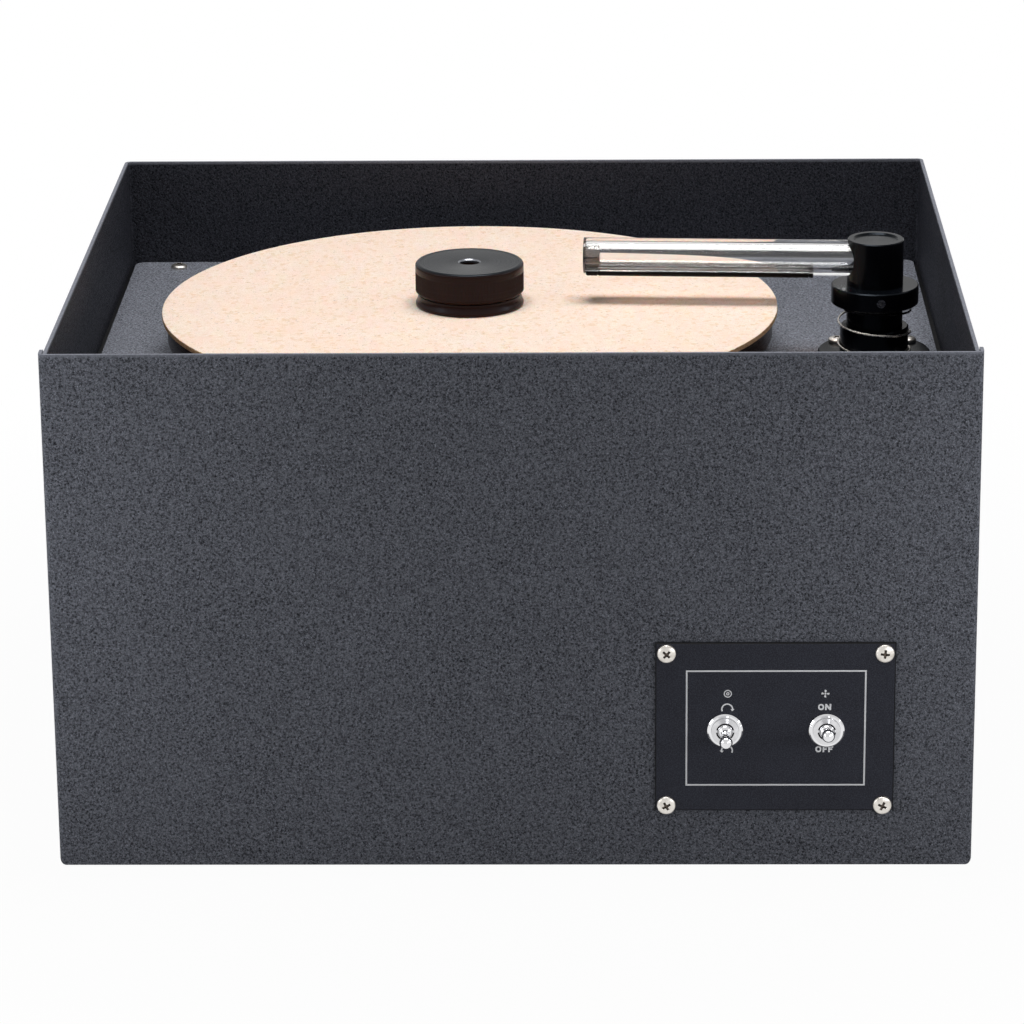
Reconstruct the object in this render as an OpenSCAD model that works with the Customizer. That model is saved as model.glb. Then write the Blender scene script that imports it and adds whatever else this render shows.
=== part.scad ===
// Record cleaning machine: a sheet steel case with a platter, a clamp and a swinging suction tube.
// Millimetres. X runs to the right, Y to the back and Z up.
// The origin is the middle of the whole outline, on the surface that the feet stand on.

/* [Case] */
// Outer width over the side walls
case_w = 391; // [384:1:420]
// Depth from the front panel's face to the back wall's face
case_d = 338.7; // [332:0.1:380]
// Height of the walls
case_h = 230.5; // [222:0.5:270]
// Thickness of the case's sheet steel
sheet_t = 1.6; // [1.2:0.1:2]
// Outer radius of the upright bends
bend_r = 3; // [2.5:0.5:5]
// Play between the side walls and the front panel's returns
lap_play = 0.4; // [0.2:0.1:0.8]
// Length of the front panel's returns along the side walls
return_d = 8; // [5:1:14]
// Width of the flanges that are folded inwards
flange_w = 14; // [12:1:18]
// Radius of the front panel's lower corners
corner_r = 2.8; // [1:0.1:5]
// Play round the bottom pan
pan_play = 0.5; // [0.3:0.1:1]
// Height of the front upright flanges inside the side walls
upright_h = 150; // [100:5:155]

/* [Feet] */
// Height of a rubber foot
foot_h = 6; // [5:0.5:8]
// Diameter of a rubber foot
foot_dia = 24; // [20:1:28]
// Distance of a foot's axis from the walls' faces
foot_inset = 28; // [26:1:32]
// Depth of the screw's recess in a foot
foot_recess = 3.4; // [3:0.1:4]

/* [Vents] */
// Length of a vent slot
vent_h = 30; // [15:1:40]
// Width of a vent slot
vent_w = 3.2; // [2:0.1:4]
// Distance between vent slots
vent_pitch = 8; // [6:0.5:12]
// Number of vent slots in a row
vent_count = 12; // [4:1:16]
// How far the row's middle lies right of the vacuum motor's axis
vent_shift = 2; // [-4:0.5:8]
// Height of the lowest slot above the case's lower edge
vent_level = 36; // [20:1:60]

/* [Deck] */
// Height of the deck's top face above the case's lower edge
deck_level = 180; // [178:0.5:186]
// Thickness of the deck plate
deck_t = 2; // [1.5:0.1:3]
// Gap between the deck and the side walls
deck_side_gap = 2.4; // [1:0.1:4]
// Gap between the deck and the front and back walls
deck_end_gap = 1; // [0.5:0.1:2]
// Radius of the deck's corners
deck_corner_r = 5; // [3:0.5:10]
// Distance of a deck screw from the side wall's inner face
deck_screw_side = 24.5; // [12:0.1:30]
// Distance of a deck screw from the front or back wall's inner face
deck_screw_end = 12.2; // [8:0.1:16]
// Width of a bracket's leg under the deck
bracket_w = 36; // [32:1:40]
// Height of a bracket's leg along the wall
bracket_h = 20; // [12:1:25]
// Thickness of a bracket
bracket_t = 2; // [1.5:0.1:3]
// Radius of the window round the post in the right bracket
bracket_window_r = 27; // [26:0.5:30]

/* [Small screws] */
// Shank diameter of the plate and deck screws
screw_dia = 4; // [3:0.1:4.5]
// Diameter of a pan head
head_dia = 8.1; // [6.5:0.1:9]
// Height of a pan head
head_h = 2.4; // [1.8:0.1:3]
// Radial play round a screw's shank
screw_play = 0.15; // [0.1:0.05:0.3]
// Length of a screw's shank
screw_len = 8; // [7:0.5:10]

/* [Control plate] */
// Width of the control plate
plate_w = 102.4; // [96:0.1:115]
// Height of the control plate
plate_h = 76.7; // [72:0.1:90]
// Thickness of the control plate
plate_t = 1.5; // [1:0.1:3]
// Width of the bevel round the control plate
plate_bevel = 0.5; // [0.2:0.1:0.8]
// Distance of the control plate from the front panel's right edge
plate_side = 34.35; // [20:0.05:50]
// Height of the control plate's lower edge above the case's lower edge
plate_level = 25.8; // [18:0.05:40]
// Distance between the plate screws across
plate_screw_w = 92.85; // [86:0.05:95]
// Distance between the plate screws in height
plate_screw_h = 69.45; // [62:0.05:71]
// How far the plate screws sit below the plate's middle
plate_screw_drop = 0.9; // [0:0.1:1.5]

/* [Toggle switches] */
// Distance between the two switches
switch_pitch = 43.4; // [38:0.5:52]
// How far the switches' middle lies right of the plate's middle
switch_shift = 0.35; // [-2:0.05:2]
// How far the switches lie below the plate's middle
switch_drop = 0.95; // [0:0.05:6]
// Diameter of the threaded bushing
bushing_dia = 11.9; // [11:0.1:12.5]
// Play round the bushing
bushing_play = 0.1; // [0.05:0.05:0.2]
// Inner diameter of the bushing
bushing_bore = 7.8; // [7.6:0.1:8.4]
// How far the bushing stands out in front of its nut
bushing_out = 0.9; // [0.4:0.1:1.6]
// Diameter of the round nut
nut_dia = 15.2; // [14:0.1:18]
// Thickness of the round nut
nut_t = 2.3; // [1.6:0.1:3]
// Width of a switch body
switch_w = 18; // [15:0.5:22]
// Height of a switch body
switch_h = 30; // [24:0.5:34]
// Depth of a switch body
switch_d = 24; // [20:0.5:30]
// Depth of the bushing's bore inside the body
switch_bore_depth = 8; // [7:0.5:12]
// Distance of the lever's pivot in front of the plate
pivot_out = 2; // [1.5:0.1:2.2]
// Radius of the lever's pivot pin
pivot_r = 0.9; // [0.7:0.05:1]
// Play round the pivot pin
pivot_play = 0.05; // [0.03:0.01:0.1]
// Distance from the pivot to the middle of the lever's tip
lever_len = 13.5; // [11:0.1:18]
// Radius of the lever's tip
lever_tip_r = 2.85; // [2.2:0.05:3.2]
// Radius of the lever at its neck
lever_neck_r = 1.7; // [1.4:0.05:2]
// Tilt of a lever away from the middle
lever_tilt = 12.5; // [10:0.5:14]

/* [Platter] */
// Distance of the platter's axis left of the case's middle
platter_left = 21.7; // [18:0.1:26]
// Distance of the platter's axis in front of the case's middle
platter_front = 2; // [0:0.1:4]
// Height of the mat's top above the deck
mat_level = 25.4; // [24:0.1:28]
// Diameter of the cork mat
mat_dia = 279.7; // [270:0.1:284]
// Thickness of the cork mat
mat_t = 2.3; // [1.5:0.1:4]
// Diameter of the hole in the mat
mat_hole_dia = 8; // [7.6:0.1:10]
// Diameter of the platter
platter_dia = 275; // [260:0.5:279]
// Thickness of the platter
platter_t = 11; // [9:0.5:12]
// Bevel on the platter's edges
platter_bevel = 1; // [0.5:0.1:2]
// Depth of the recess in the platter's underside
platter_recess = 4; // [2:0.5:5]
// Width of the platter's thick rim
rim_w = 14; // [8:1:30]
// Radius of the platter's thick middle
core_r = 42; // [36:1:60]

/* [Hub and spindle] */
// Diameter of the gearbox's output shaft
shaft_dia = 10; // [8:0.5:11]
// Running play of the output shaft
shaft_play = 0.05; // [0.03:0.01:0.1]
// Diameter of the hub's flange
hub_flange_dia = 64; // [58:1:70]
// Thickness of the hub's flange
hub_flange_t = 3.6; // [3:0.1:4.5]
// Diameter of the hub's boss
hub_dia = 28; // [24:1:32]
// Gap between the hub and the deck
hub_gap = 1; // [0.5:0.1:2]
// Radius of the circle of the platter screws
platter_screw_r = 23; // [19:0.5:27]
// Diameter of the spindle
spindle_dia = 7.1; // [6.8:0.05:7.2]
// Diameter of the spindle's collar
spindle_collar_dia = 14; // [12:0.5:18]
// Thickness of the spindle's collar
spindle_collar_t = 2; // [1:0.1:3]
// Play of parts that are fitted tightly together
seat_play = 0.02; // [0.01:0.01:0.03]

/* [Clamp] */
// Height of the whole clamp above the mat
clamp_h = 19.9; // [18:0.1:24]
// Radius of the clamp foot's rim
clamp_foot_r = 24.5; // [23.5:0.1:28]
// Radius of the clamp foot's neck
clamp_neck_r = 23.4; // [22:0.1:23.4]
// Height of the clamp foot above the mat
clamp_foot_h = 5.4; // [5:0.1:7]
// Radius of the knob's knurled band
knob_r = 24.6; // [23.5:0.1:28]
// Width of the bevel under the knurled band
knob_bevel = 1.1; // [0.5:0.1:1.5]
// Height of the rounded edge above the knurled band
knob_round = 1.6; // [0.8:0.1:2.5]
// Depth of the dish in the knob's top
knob_dish = 0.2; // [0.1:0.1:0.8]
// Diameter of the hole through the knob's top
knob_hole_dia = 9; // [8:0.1:10]
// Radius of the knob's journal in the foot
journal_r = 9; // [8:0.1:11]
// Gap between the clamp and what it faces
clamp_gap = 0.3; // [0.2:0.05:0.4]
// Thickness of the rubber pad under the clamp foot
pad_t = 1.6; // [1:0.1:2]
// Width of the rubber pad
pad_w = 7; // [4:0.5:9]
// Length of thread that holds the knob on the spindle
thread_len = 6; // [4:0.5:8]
// Running play of the threads
thread_play = 0.05; // [0.03:0.01:0.1]

/* [Post] */
// Distance of the post's axis from the side wall's inner face
post_side = 31.9; // [30:0.1:36]
// Distance of the post's axis in front of the case's middle
post_front = 5; // [0:0.5:10]
// Diameter of the swing post
post_dia = 25.4; // [24:0.1:26.4]
// Running play of the swing post
post_play = 0.05; // [0.03:0.01:0.1]
// Height of the post's top above the deck
post_top = 56.2; // [54:0.1:60]
// Depth of the dish in the post's top
post_dish = 0.8; // [0.4:0.1:1.2]
// Width of the rim round that dish
post_rim = 2.5; // [1.5:0.1:3.5]
// Diameter of the post's bore
post_bore = 16; // [14:0.5:17]
// Length of the post below the deck's top face
post_below = 52; // [50:0.5:56]
// Diameter of the post flange
flange_dia = 50.8; // [49:0.1:56]
// Thickness of the post flange
flange_t = 4; // [3:0.1:5]
// How far the flange's screws lie from its left and right sides, in degrees
flange_screw_turn = 40; // [35:1:50]
// Outer diameter of the flange's bearing sleeve
sleeve_dia = 31; // [30:0.1:31.4]
// Length of the bearing sleeve below the deck's top face
sleeve_below = 20; // [16:0.5:22]
// Diameter of the collar
collar_dia = 39.5; // [37:0.1:42]
// Height of the collar
collar_h = 8.7; // [8:0.1:11]
// Height of the collar's lower face above the deck
collar_level = 26.4; // [24:0.1:28]
// How far the collar's set screw lies right of the front, in degrees
set_screw_turn = 5; // [0:1:45]
// How far the post can be pushed down
lift_travel = 10.2; // [9:0.1:11]
// Gap that a stop keeps
stop_gap = 0.3; // [0.2:0.05:0.4]
// Thickness of the retaining ring
ring_t = 2.4; // [1.6:0.1:3]

/* [Spring] */
// Wire diameter of the post spring
wire_dia = 1; // [0.8:0.05:1.2]
// Play between the spring and what is inside and beside it
spring_play = 0.15; // [0.1:0.05:0.3]
// Rise of one open turn
spring_pitch = 10.2; // [9:0.1:11]
// Turns of the spring in all
spring_turns = 2.75; // [2.5:0.25:3]
// Thickness of the washer on the spring
washer_t = 0.5; // [0.4:0.05:0.8]
// Gap between the washer and the collar
washer_gap = 0.1; // [0.05:0.05:0.2]

/* [Pick-up tube] */
// Height of the tube's axis above the deck
tube_level = 46.9; // [46:0.1:50]
// Outer diameter of the tube
tube_dia = 16.3; // [15.5:0.1:17]
// Bore of the tube
tube_bore = 9.5; // [8:0.1:10.5]
// Reach of the tube's end from the post's axis
tube_reach = 132; // [125:0.5:133]
// Where the tube begins inside the post, from the post's axis
tube_start = 8.6; // [8.6:0.1:10]
// How far the tube is swung to the back at rest, in degrees
tube_turn = 3; // [0:0.5:8]
// Thickness of the end plug's disc
plug_disc_t = 1.2; // [0.8:0.1:2]
// Length of the end plug inside the bore
plug_len = 6.2; // [4:0.1:8]
// Where the felt begins, from the post's axis
felt_start = 27.9; // [24:0.1:34]
// How far the felt ends before the plug's disc
felt_margin = 0; // [0:0.1:20]
// Thickness of the felt
felt_t = 1.05; // [0.8:0.05:1.4]
// Width of the felt over the tube's underside
felt_w = 13; // [8:0.1:14]
// Width of the suction slot
slot_w = 1.6; // [1:0.1:2.4]
// Length of the felt past each end of the suction slot
slot_end = 2; // [1:0.5:5]

/* [Gear motor] */
// Width of the square gearbox
gearbox_w = 70; // [64:1:72]
// Height of the gearbox
gearbox_h = 34; // [28:1:40]
// How far the output shaft lies off the gearbox's middle
shaft_offset = 8; // [4:0.5:10]
// Distance between the gearbox's screws
gearbox_screw_pitch = 56; // [50:1:58]
// Diameter of the motor
motor_dia = 68; // [60:1:70]
// Length of the motor
motor_len = 66; // [50:1:90]
// Diameter of the gearbox's pilot in the deck
pilot_dia = 23; // [20:0.5:26]
// Diameter of the capacitor
capacitor_dia = 35; // [28:1:40]
// Height of the capacitor
capacitor_h = 56; // [45:1:70]
// Distance of the capacitor's axis from the side wall's inner face
capacitor_side = 98.9; // [75:0.1:115]
// Distance of the capacitor's axis from the front panel's inner face
capacitor_front = 52.75; // [42:0.05:68]

/* [Waste tank] */
// Width of the tank
tank_w = 102; // [98:1:104]
// Length of the tank
tank_l = 228; // [215:1:232]
// Height of the tank's rim above the case's lower edge
tank_top = 108; // [100:1:110]
// Height of the tank's underside above the flanges of the case
tank_lift = 2; // [0.5:0.5:5]
// Wall of the tank
tank_wall = 3; // [2.5:0.1:4]
// Radius of the tank's upright corners
tank_corner_r = 10; // [8:0.5:14]
// Gap between the tank and the back wall
tank_back_gap = 5; // [4:0.5:10]
// Gap between the tank and the side wall
tank_side_gap = 7.5; // [6:0.5:10]
// Thickness of the tank's lid
lid_t = 4; // [3:0.5:5]
// Thickness of the tank's gasket
gasket_t = 1.5; // [1:0.1:2]
// Outer diameter of the lid's neck round the post
neck_dia = 38; // [36:0.5:40]
// Play between the post and the lid's neck
neck_play = 0.4; // [0.3:0.05:0.6]
// Height of the neck's top below the deck's top face
neck_below = 34; // [33:0.5:36]
// Height of the post's seal
seal_h = 4; // [3:0.1:5]
// Play between the seal and the post
seal_gap = 0.2; // [0.1:0.05:0.3]
// Diameter of an air spigot
spigot_dia = 26; // [22:0.5:28]
// Bore of an air spigot
spigot_bore = 21; // [16:0.5:22]
// Length of an air spigot
spigot_len = 14; // [10:0.5:16]
// Length of the baffle under the lid
baffle_h = 55; // [30:1:70]
// How far the baffle lies in front of the tank's middle
baffle_shift = 7.25; // [7:0.05:30]

/* [Vacuum motor] */
// Gap between the fan housing and the side wall
vacuum_side = 17.9; // [14:0.1:20]
// Gap between the fan housing and the back wall
vacuum_back = 17.75; // [14:0.05:20]
// Diameter of the fan housing
fan_housing_dia = 124; // [116:1:128]
// Height of the fan housing's chamber
fan_chamber_h = 38; // [34:1:42]
// Wall of the fan housing
fan_wall = 4; // [3:0.5:5]
// Gap between the impeller and the fan housing's wall
impeller_gap = 6; // [5:0.5:12]
// Number of blades on the impeller
blade_count = 9; // [6:1:12]
// Diameter of the vacuum motor
vacuum_motor_dia = 84; // [76:1:86]
// Length of the vacuum motor
vacuum_motor_len = 54; // [44:1:56]
// Height of the bracket's ring above the case's lower edge
vacuum_level = 62; // [60:1:64]
// Diameter of a bracket's leg
leg_dia = 10; // [9:0.5:12]
// Diameter of the fan's shaft
fan_shaft_dia = 9; // [7:0.5:10]
// Height of the air hose's axis above the case's lower edge
hose_level = 152; // [151:0.5:156]
// Bend radius of the air hose
hose_bend_r = 24; // [20:1:26]
// Wall of the air hose
hose_wall = 2.4; // [1.6:0.1:3]
// Play of the hose on its spigots
hose_play = 0.1; // [0.05:0.05:0.2]

/* [Power inlet] */
// Distance of the inlet right of the case's middle
inlet_x = 28; // [10:1:40]
// Height of the inlet's middle above the case's lower edge
inlet_level = 62; // [50:1:80]
// Width of the inlet's flange
inlet_w = 50; // [48:0.5:54]
// Height of the inlet's flange
inlet_h = 36; // [34:0.5:40]
// Thickness of the inlet's flange
inlet_t = 2.5; // [2:0.1:4]
// Depth of the inlet's body behind the wall
inlet_d = 24; // [22:0.5:30]
// Width of the socket
socket_w = 24.6; // [24:0.1:25]
// Height of the socket
socket_h = 16.9; // [16.5:0.1:17.5]
// Depth of the socket
socket_depth = 17; // [16:0.5:19]
// Width of the fuse drawer
drawer_w = 21; // [18:0.5:23]
// Height of the fuse drawer
drawer_h = 7; // [6:0.5:8]
// Depth of the fuse drawer behind its face
drawer_d = 18; // [14:0.5:20]
// Thickness of the fuse drawer's face
drawer_face_t = 1.4; // [1:0.1:2]
// Play round the fuse drawer
drawer_play = 0.3; // [0.2:0.05:0.4]

/* [Drain valve] */
// Distance of the drain valve from the tank's outer side
drain_side = 36.4; // [26:0.1:66]
// Height of the drain valve above the case's lower edge
drain_level = 19; // [18:0.5:24]
// Diameter of the valve's threaded shank
shank_dia = 12; // [11:0.5:13]
// Diameter of the valve's flange
drain_flange_dia = 22; // [20:0.5:26]
// Thickness of the valve's flange
drain_flange_t = 4; // [3:0.5:5]
// Diameter of the valve's body
drain_body_dia = 18; // [17:0.5:20]
// Length of the valve's body
drain_body_len = 12; // [11:0.5:16]
// Outer diameter of the drain nozzle
nozzle_dia = 9.5; // [9:0.1:11]
// Length of the drain nozzle
nozzle_len = 8; // [6:0.5:14]
// Diameter of the valve's bore
drain_bore = 5; // [4:0.1:6]
// Diameter of the valve's plug
drain_plug_dia = 8; // [7.6:0.1:9]
// Running play of the valve's plug
drain_play = 0.05; // [0.03:0.01:0.1]
// Length of the drain lever
drain_lever_len = 18; // [14:0.5:19]

/* [Wiring] */
// Diameter of the wires inside
loom_dia = 6; // [4:0.5:7]

/* [Hidden] */
$fn = 64;

// A small length that a cut runs past a face
over = 1;

// The outline in depth runs from the lever's tip to the drain nozzle's end
front_reach = plate_t + pivot_out + lever_len + lever_tip_r;
rear_reach = drain_flange_t + drain_body_len + nozzle_len;
front_y = front_reach - (front_reach + case_d + rear_reach) / 2;
back_y = front_y + case_d;
mid_y = (front_y + back_y) / 2;
inner_x = case_w / 2 - sheet_t;
inner_front = front_y + sheet_t;
inner_back = back_y - sheet_t;
front_w = case_w + 2 * (sheet_t + lap_play);

// Heights
floor_z = foot_h + sheet_t;
flange_z = floor_z + sheet_t;
deck_z = foot_h + deck_level;
under_deck = deck_z - deck_t;
mat_z = deck_z + mat_level;
platter_z = mat_z - mat_t;
platter_under = platter_z - platter_t;
hub_under = platter_under - hub_flange_t;

// Places in plan
platter_at = [-platter_left, mid_y - platter_front];
gearbox_at = platter_at - [shaft_offset, 0];
post_at = [inner_x - post_side, mid_y - post_front];
fan_r = fan_housing_dia / 2;
vacuum_at = [vacuum_side + fan_r - inner_x, inner_back - vacuum_back - fan_r];
capacitor_at = [capacitor_side - inner_x, inner_front + capacitor_front];
tank_right = inner_x - tank_side_gap;
drain_x = tank_right - drain_side;
tank_back = inner_back - tank_back_gap;
tank_at = [tank_right - tank_w / 2, tank_back - tank_l / 2];
spigot_at = [tank_right - tank_w + spigot_dia, vacuum_at[1]];

// Screws
screw_r = screw_dia / 2;
screw_hole_r = screw_r + screw_play;
deck_screw_x = inner_x - deck_screw_side;
deck_screw_front = inner_front + deck_screw_end;
deck_screw_back = inner_back - deck_screw_end;
gearbox_screws_xy = [for (sx = [-1, 1], sy = [-1, 1]) gearbox_at + gearbox_screw_pitch / 2 * [sx, sy]];
flange_mid = flange_w / 2;
pan_screw_dx = case_w * 0.23;
pan_screw_dy = case_d * 0.36;
pan_screws_xy = concat(
  [for (sx = [-1, 1], sy = [-1:1]) [sx * (inner_x - flange_mid), mid_y + sy * pan_screw_dy]],
  [for (sx = [-1, 1]) [sx * pan_screw_dx, inner_front + flange_mid]],
  [for (sx = [-1, 1]) [sx * pan_screw_dx, inner_back - flange_mid]]
);
feet_xy = [
  for (sx = [-1, 1], y = [front_y + foot_inset, back_y - foot_inset])
    [sx * (case_w / 2 - foot_inset), y]
];

// Switches
plate_x = front_w / 2 - plate_side - plate_w / 2;
plate_z = foot_h + plate_level + plate_h / 2;
switch_z = plate_z - switch_drop;
switch_mid_x = plate_x + switch_shift;
turntable_x = switch_mid_x - switch_pitch / 2;
vacuum_x = switch_mid_x + switch_pitch / 2;
nut_base = sheet_t + plate_t;
bushing_len = nut_base + nut_t + bushing_out;
pivot_level = nut_base + pivot_out;
bushing_hole_r = bushing_dia / 2 + bushing_play;

// Clamp
clamp_foot_under = mat_z + clamp_gap;
clamp_foot_top = mat_z + clamp_foot_h;
knob_under = clamp_foot_top + clamp_gap;
knob_top = mat_z + clamp_h;
journal_under = mat_z + pad_t;
spindle_top = journal_under + thread_len;
sink_h = head_dia / 2 - screw_r;
clamp_ring_t = 1;

// Post
post_r = post_dia / 2;
post_top_z = deck_z + post_top;
post_under = deck_z - post_below;
collar_z = deck_z + collar_level;
sleeve_top = collar_z - lift_travel - stop_gap;
sleeve_under = deck_z - sleeve_below;
sleeve_r = sleeve_dia / 2;
ring_top = sleeve_under - stop_gap;
groove_depth = 1;
tube_z = deck_z + tube_level;
tube_r = tube_dia / 2;
felt_end = tube_reach - plug_disc_t - felt_margin;

// Spring path, wound downwards as the angle grows
wire_r = wire_dia / 2;
washer_top = collar_z - washer_gap;
washer_under = washer_top - washer_t;
rings_per_turn = 24;
spring_r = (sleeve_r + spring_play + wire_r) / cos(180 / rings_per_turn);
flange_screw_r = spring_r + wire_r + spring_play + head_dia / 2;
flange_screws_xy = [
  for (sx = [-1, 1], sy = [-1, 1])
    post_at + flange_screw_r * [sx * cos(flange_screw_turn), sy * sin(flange_screw_turn)]
];
spring_high = washer_under - wire_r - stop_gap;
spring_low = deck_z + flange_t + wire_r;
spring_start = 150;
spring_flat = 72;
spring_path = [
  for (i = [0:spring_turns * rings_per_turn])
    let (turn = i * 360 / rings_per_turn, a = turn - spring_start)
    [
      post_at[0] + spring_r * cos(a),
      post_at[1] + spring_r * sin(a),
      max(spring_low, min(spring_high, spring_high - spring_pitch * (turn - spring_flat) / 360))
    ]
];
spring_gap = min([
  for (i = [0:len(spring_path) - 1], j = [i + rings_per_turn / 2:1:len(spring_path) - 1])
    norm(spring_path[i] - spring_path[j])
]) - wire_dia;
echo("least gap of the post spring to itself", spring_gap);  // post_spring

// Tank
tank_z = flange_z + tank_lift;
tank_rim = foot_h + tank_top;
lid_z = tank_rim + gasket_t;
lid_top = lid_z + lid_t;
neck_top = deck_z - neck_below;
neck_bore_r = post_r + neck_play;
seal_seat_r = neck_dia / 2 - 2.5;
boss_r = 7;
lid_screws_xy = [
  for (sx = [-1, 1], sy = [-1:1])
    tank_at + [sx * (tank_w / 2 - boss_r), sy * (tank_l / 2 - boss_r)]
];
tank_feet_xy = [for (sx = [-1, 1], sy = [-1, 1]) tank_at + [sx * tank_w * 0.28, sy * tank_l * 0.3]];
baffle_y = tank_at[1] - baffle_shift;
drain_z = foot_h + drain_level;

// Vacuum motor
bracket_z = foot_h + vacuum_level;
gasket_z = bracket_z + bracket_t;
fan_z = gasket_z + gasket_t;
chamber_z = fan_z + fan_wall;
chamber_top = chamber_z + fan_chamber_h;
fan_top = chamber_top + fan_wall;
motor_window_r = vacuum_motor_dia / 2 + 2;
leg_circle = fan_r - leg_dia / 2;
hose_r = spigot_dia / 2 + hose_play;
hose_outer_r = hose_r + hose_wall;
hose_z = foot_h + hose_level;
hose_seat = 2;

// Power inlet
inlet_at = [inlet_x, back_y, foot_h + inlet_level];
socket_up = 6.5;
drawer_down = 10.5;
inlet_body_w = 27.4;
inlet_body_h = inlet_h - 4;
inlet_screw_x = inlet_w / 2 - 5;

// Drain valve
drain_plug_y = back_y + drain_flange_t + drain_body_len / 2;
drain_lever_z = drain_z + drain_flange_dia / 2 + stop_gap;

// The wires' routes, from where they leave one piece to where they enter the next
loom_r = loom_dia / 2;
inlet_rear_y = inner_back - inlet_d;
switch_rear_y = inner_front + switch_d;
mains_route = [
  [inlet_x, inlet_rear_y - 0.2, inlet_at[2] + socket_up],
  [inlet_x, inlet_rear_y - 20, inlet_at[2] + socket_up],
  [50, 90, 30],
  [66, 40, 22],
  [70, -60, 20],
  [vacuum_x - 12, -110, 40],
  [vacuum_x, switch_rear_y + 14, switch_z + 6],
  [vacuum_x, switch_rear_y + 0.2, switch_z + 6]
];
motor_route = [
  [turntable_x, switch_rear_y + 0.2, switch_z],
  [turntable_x, switch_rear_y + 16, switch_z],
  [60, -110, 60],
  [20, -80, 70],
  [gearbox_at[0], gearbox_at[1] - motor_dia / 2 - 14, 100],
  [gearbox_at[0], gearbox_at[1] - motor_dia / 2 - 0.2, 100]
];
fan_route = [
  [vacuum_x, switch_rear_y + 0.2, switch_z - 8],
  [vacuum_x, switch_rear_y + 14, switch_z - 8],
  [90, -116, 18],
  [20, -100, 18],
  [-70, -60, 18],
  [vacuum_at[0], vacuum_at[1] - vacuum_motor_dia / 2 - 24, 30],
  [vacuum_at[0], vacuum_at[1] - vacuum_motor_dia / 2 - 0.2, 30]
];

// Points and faces of a tube along a path

function unit(v) = v / norm(v);

function middle(a, b) = (a + b) / 2;

function bezier(a, b, c, t) = (1 - t) * (1 - t) * a + 2 * t * (1 - t) * b + t * t * c;

function softened(p, n = 4) = concat(
  [p[0]],
  [
    for (i = [1:len(p) - 2], k = [0:n - 1])
      bezier(middle(p[i - 1], p[i]), p[i], middle(p[i], p[i + 1]), k / n)
  ],
  [middle(p[len(p) - 2], p[len(p) - 1]), p[len(p) - 1]]
);

function heading(p, i) = unit(p[min(i + 1, len(p) - 1)] - p[max(i - 1, 0)]);

function ring(centre, along, up, r, sides) =
  let (u = unit(cross(along, up)), v = cross(along, u))
  [for (k = [0:sides - 1]) centre + r * (cos(360 * k / sides) * u + sin(360 * k / sides) * v)];

// A solid tube of flat faces along the path p; up must not lie along any stretch of it
module path_tube(p, r, sides, up) {
  n = len(p);
  rings = [for (i = [0:n - 1]) ring(p[i], heading(p, i), up, r, sides)];
  points = concat([for (q = rings) each q], [p[0], p[n - 1]]);
  first = n * sides;
  sides_faces = [
    for (i = [0:n - 2], k = [0:sides - 1])
      let (a = i * sides + k, b = i * sides + (k + 1) % sides)
      each [[a, b + sides, b], [a, a + sides, b + sides]]
  ];
  ends = [
    for (k = [0:sides - 1])
      let (m = (k + 1) % sides, last = (n - 1) * sides)
      each [[first, k, m], [first + 1, last + m, last + k]]
  ];
  polyhedron(points, concat(sides_faces, ends));
}

// Plain shapes that repeat

module block(x0, x1, y0, y1, z0, z1) {
  translate([x0, y0, z0])
    cube([x1 - x0, y1 - y0, z1 - z0]);
}

module rounded_plan(w, d, r) {
  square([w - 2 * r, d], center = true);
  square([w, d - 2 * r], center = true);
  for (sx = [-1, 1], sy = [-1, 1])
    translate([sx * (w / 2 - r), sy * (d / 2 - r)])
      circle(r);
}

module rod(at, z0, z1, r) {
  translate([at[0], at[1], z0])
    cylinder(h = z1 - z0, r = r);
}

module pipe(at, z0, z1, r, bore_r) {
  difference() {
    rod(at, z0, z1, r);
    rod(at, z0 - over, z1 + over, bore_r);
  }
}

module slot_2d(w, h) {
  square([w, h - w], center = true);
  for (s = [-1, 1])
    translate([0, s * (h - w) / 2])
      circle(w / 2);
}

// A sheet of three walls in plan: closed at y = length, open at y = 0
module u_plan(w, length, r) {
  translate([-w / 2, 0])
    square([w, length - r]);
  translate([r - w / 2, 0])
    square([w - 2 * r, length]);
  for (s = [-1, 1])
    translate([s * (w / 2 - r), length - r])
      circle(r);
}

module u_sheet(w, length, r, inner_r, t) {
  difference() {
    u_plan(w, length, r);
    translate([0, -t])
      u_plan(w - 2 * t, length, inner_r);
  }
}

// A pan head on z = 0 with a cross recess, and its shank below
module pan_screw(length, shank = screw_dia, head = head_dia, height = head_h) {
  edge = height * 0.4;
  difference() {
    rotate_extrude()
      polygon(concat(
        [[0, 0], [head / 2, 0]],
        [for (a = [0:15:90]) [head / 2 * cos(a), edge + (height - edge) * sin(a)]]
      ));
    for (a = [0, 90])
      rotate([0, 0, a])
        translate([-head * 0.27, -head * 0.06, height * 0.45])
          cube([head * 0.54, head * 0.12, height]);
  }
  translate([0, 0, -length])
    cylinder(h = length, r = shank / 2);
}

module socket_screw(r, length) {
  difference() {
    cylinder(h = length, r = r);
    translate([0, 0, length - 2])
      cylinder(h = 2 + over, r = r * 0.5, $fn = 6);
  }
}

// Frames in which pieces are drawn

// z = 0 is the front panel's back face, +z points to the front and +y up
module at_switch(x) {
  translate([x, inner_front, switch_z])
    rotate([90, 0, 0])
      children();
}

// z = 0 is the back wall's outer face, +z points to the back and +y down
module at_back(x, z) {
  translate([x, back_y, z])
    rotate([-90, 0, 0])
      children();
}

// z runs from the post's axis along the tube, +x points up
module at_tube() {
  translate([post_at[0], post_at[1], tube_z])
    rotate([0, 0, -tube_turn])
      rotate([0, -90, 0])
        children();
}

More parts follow.
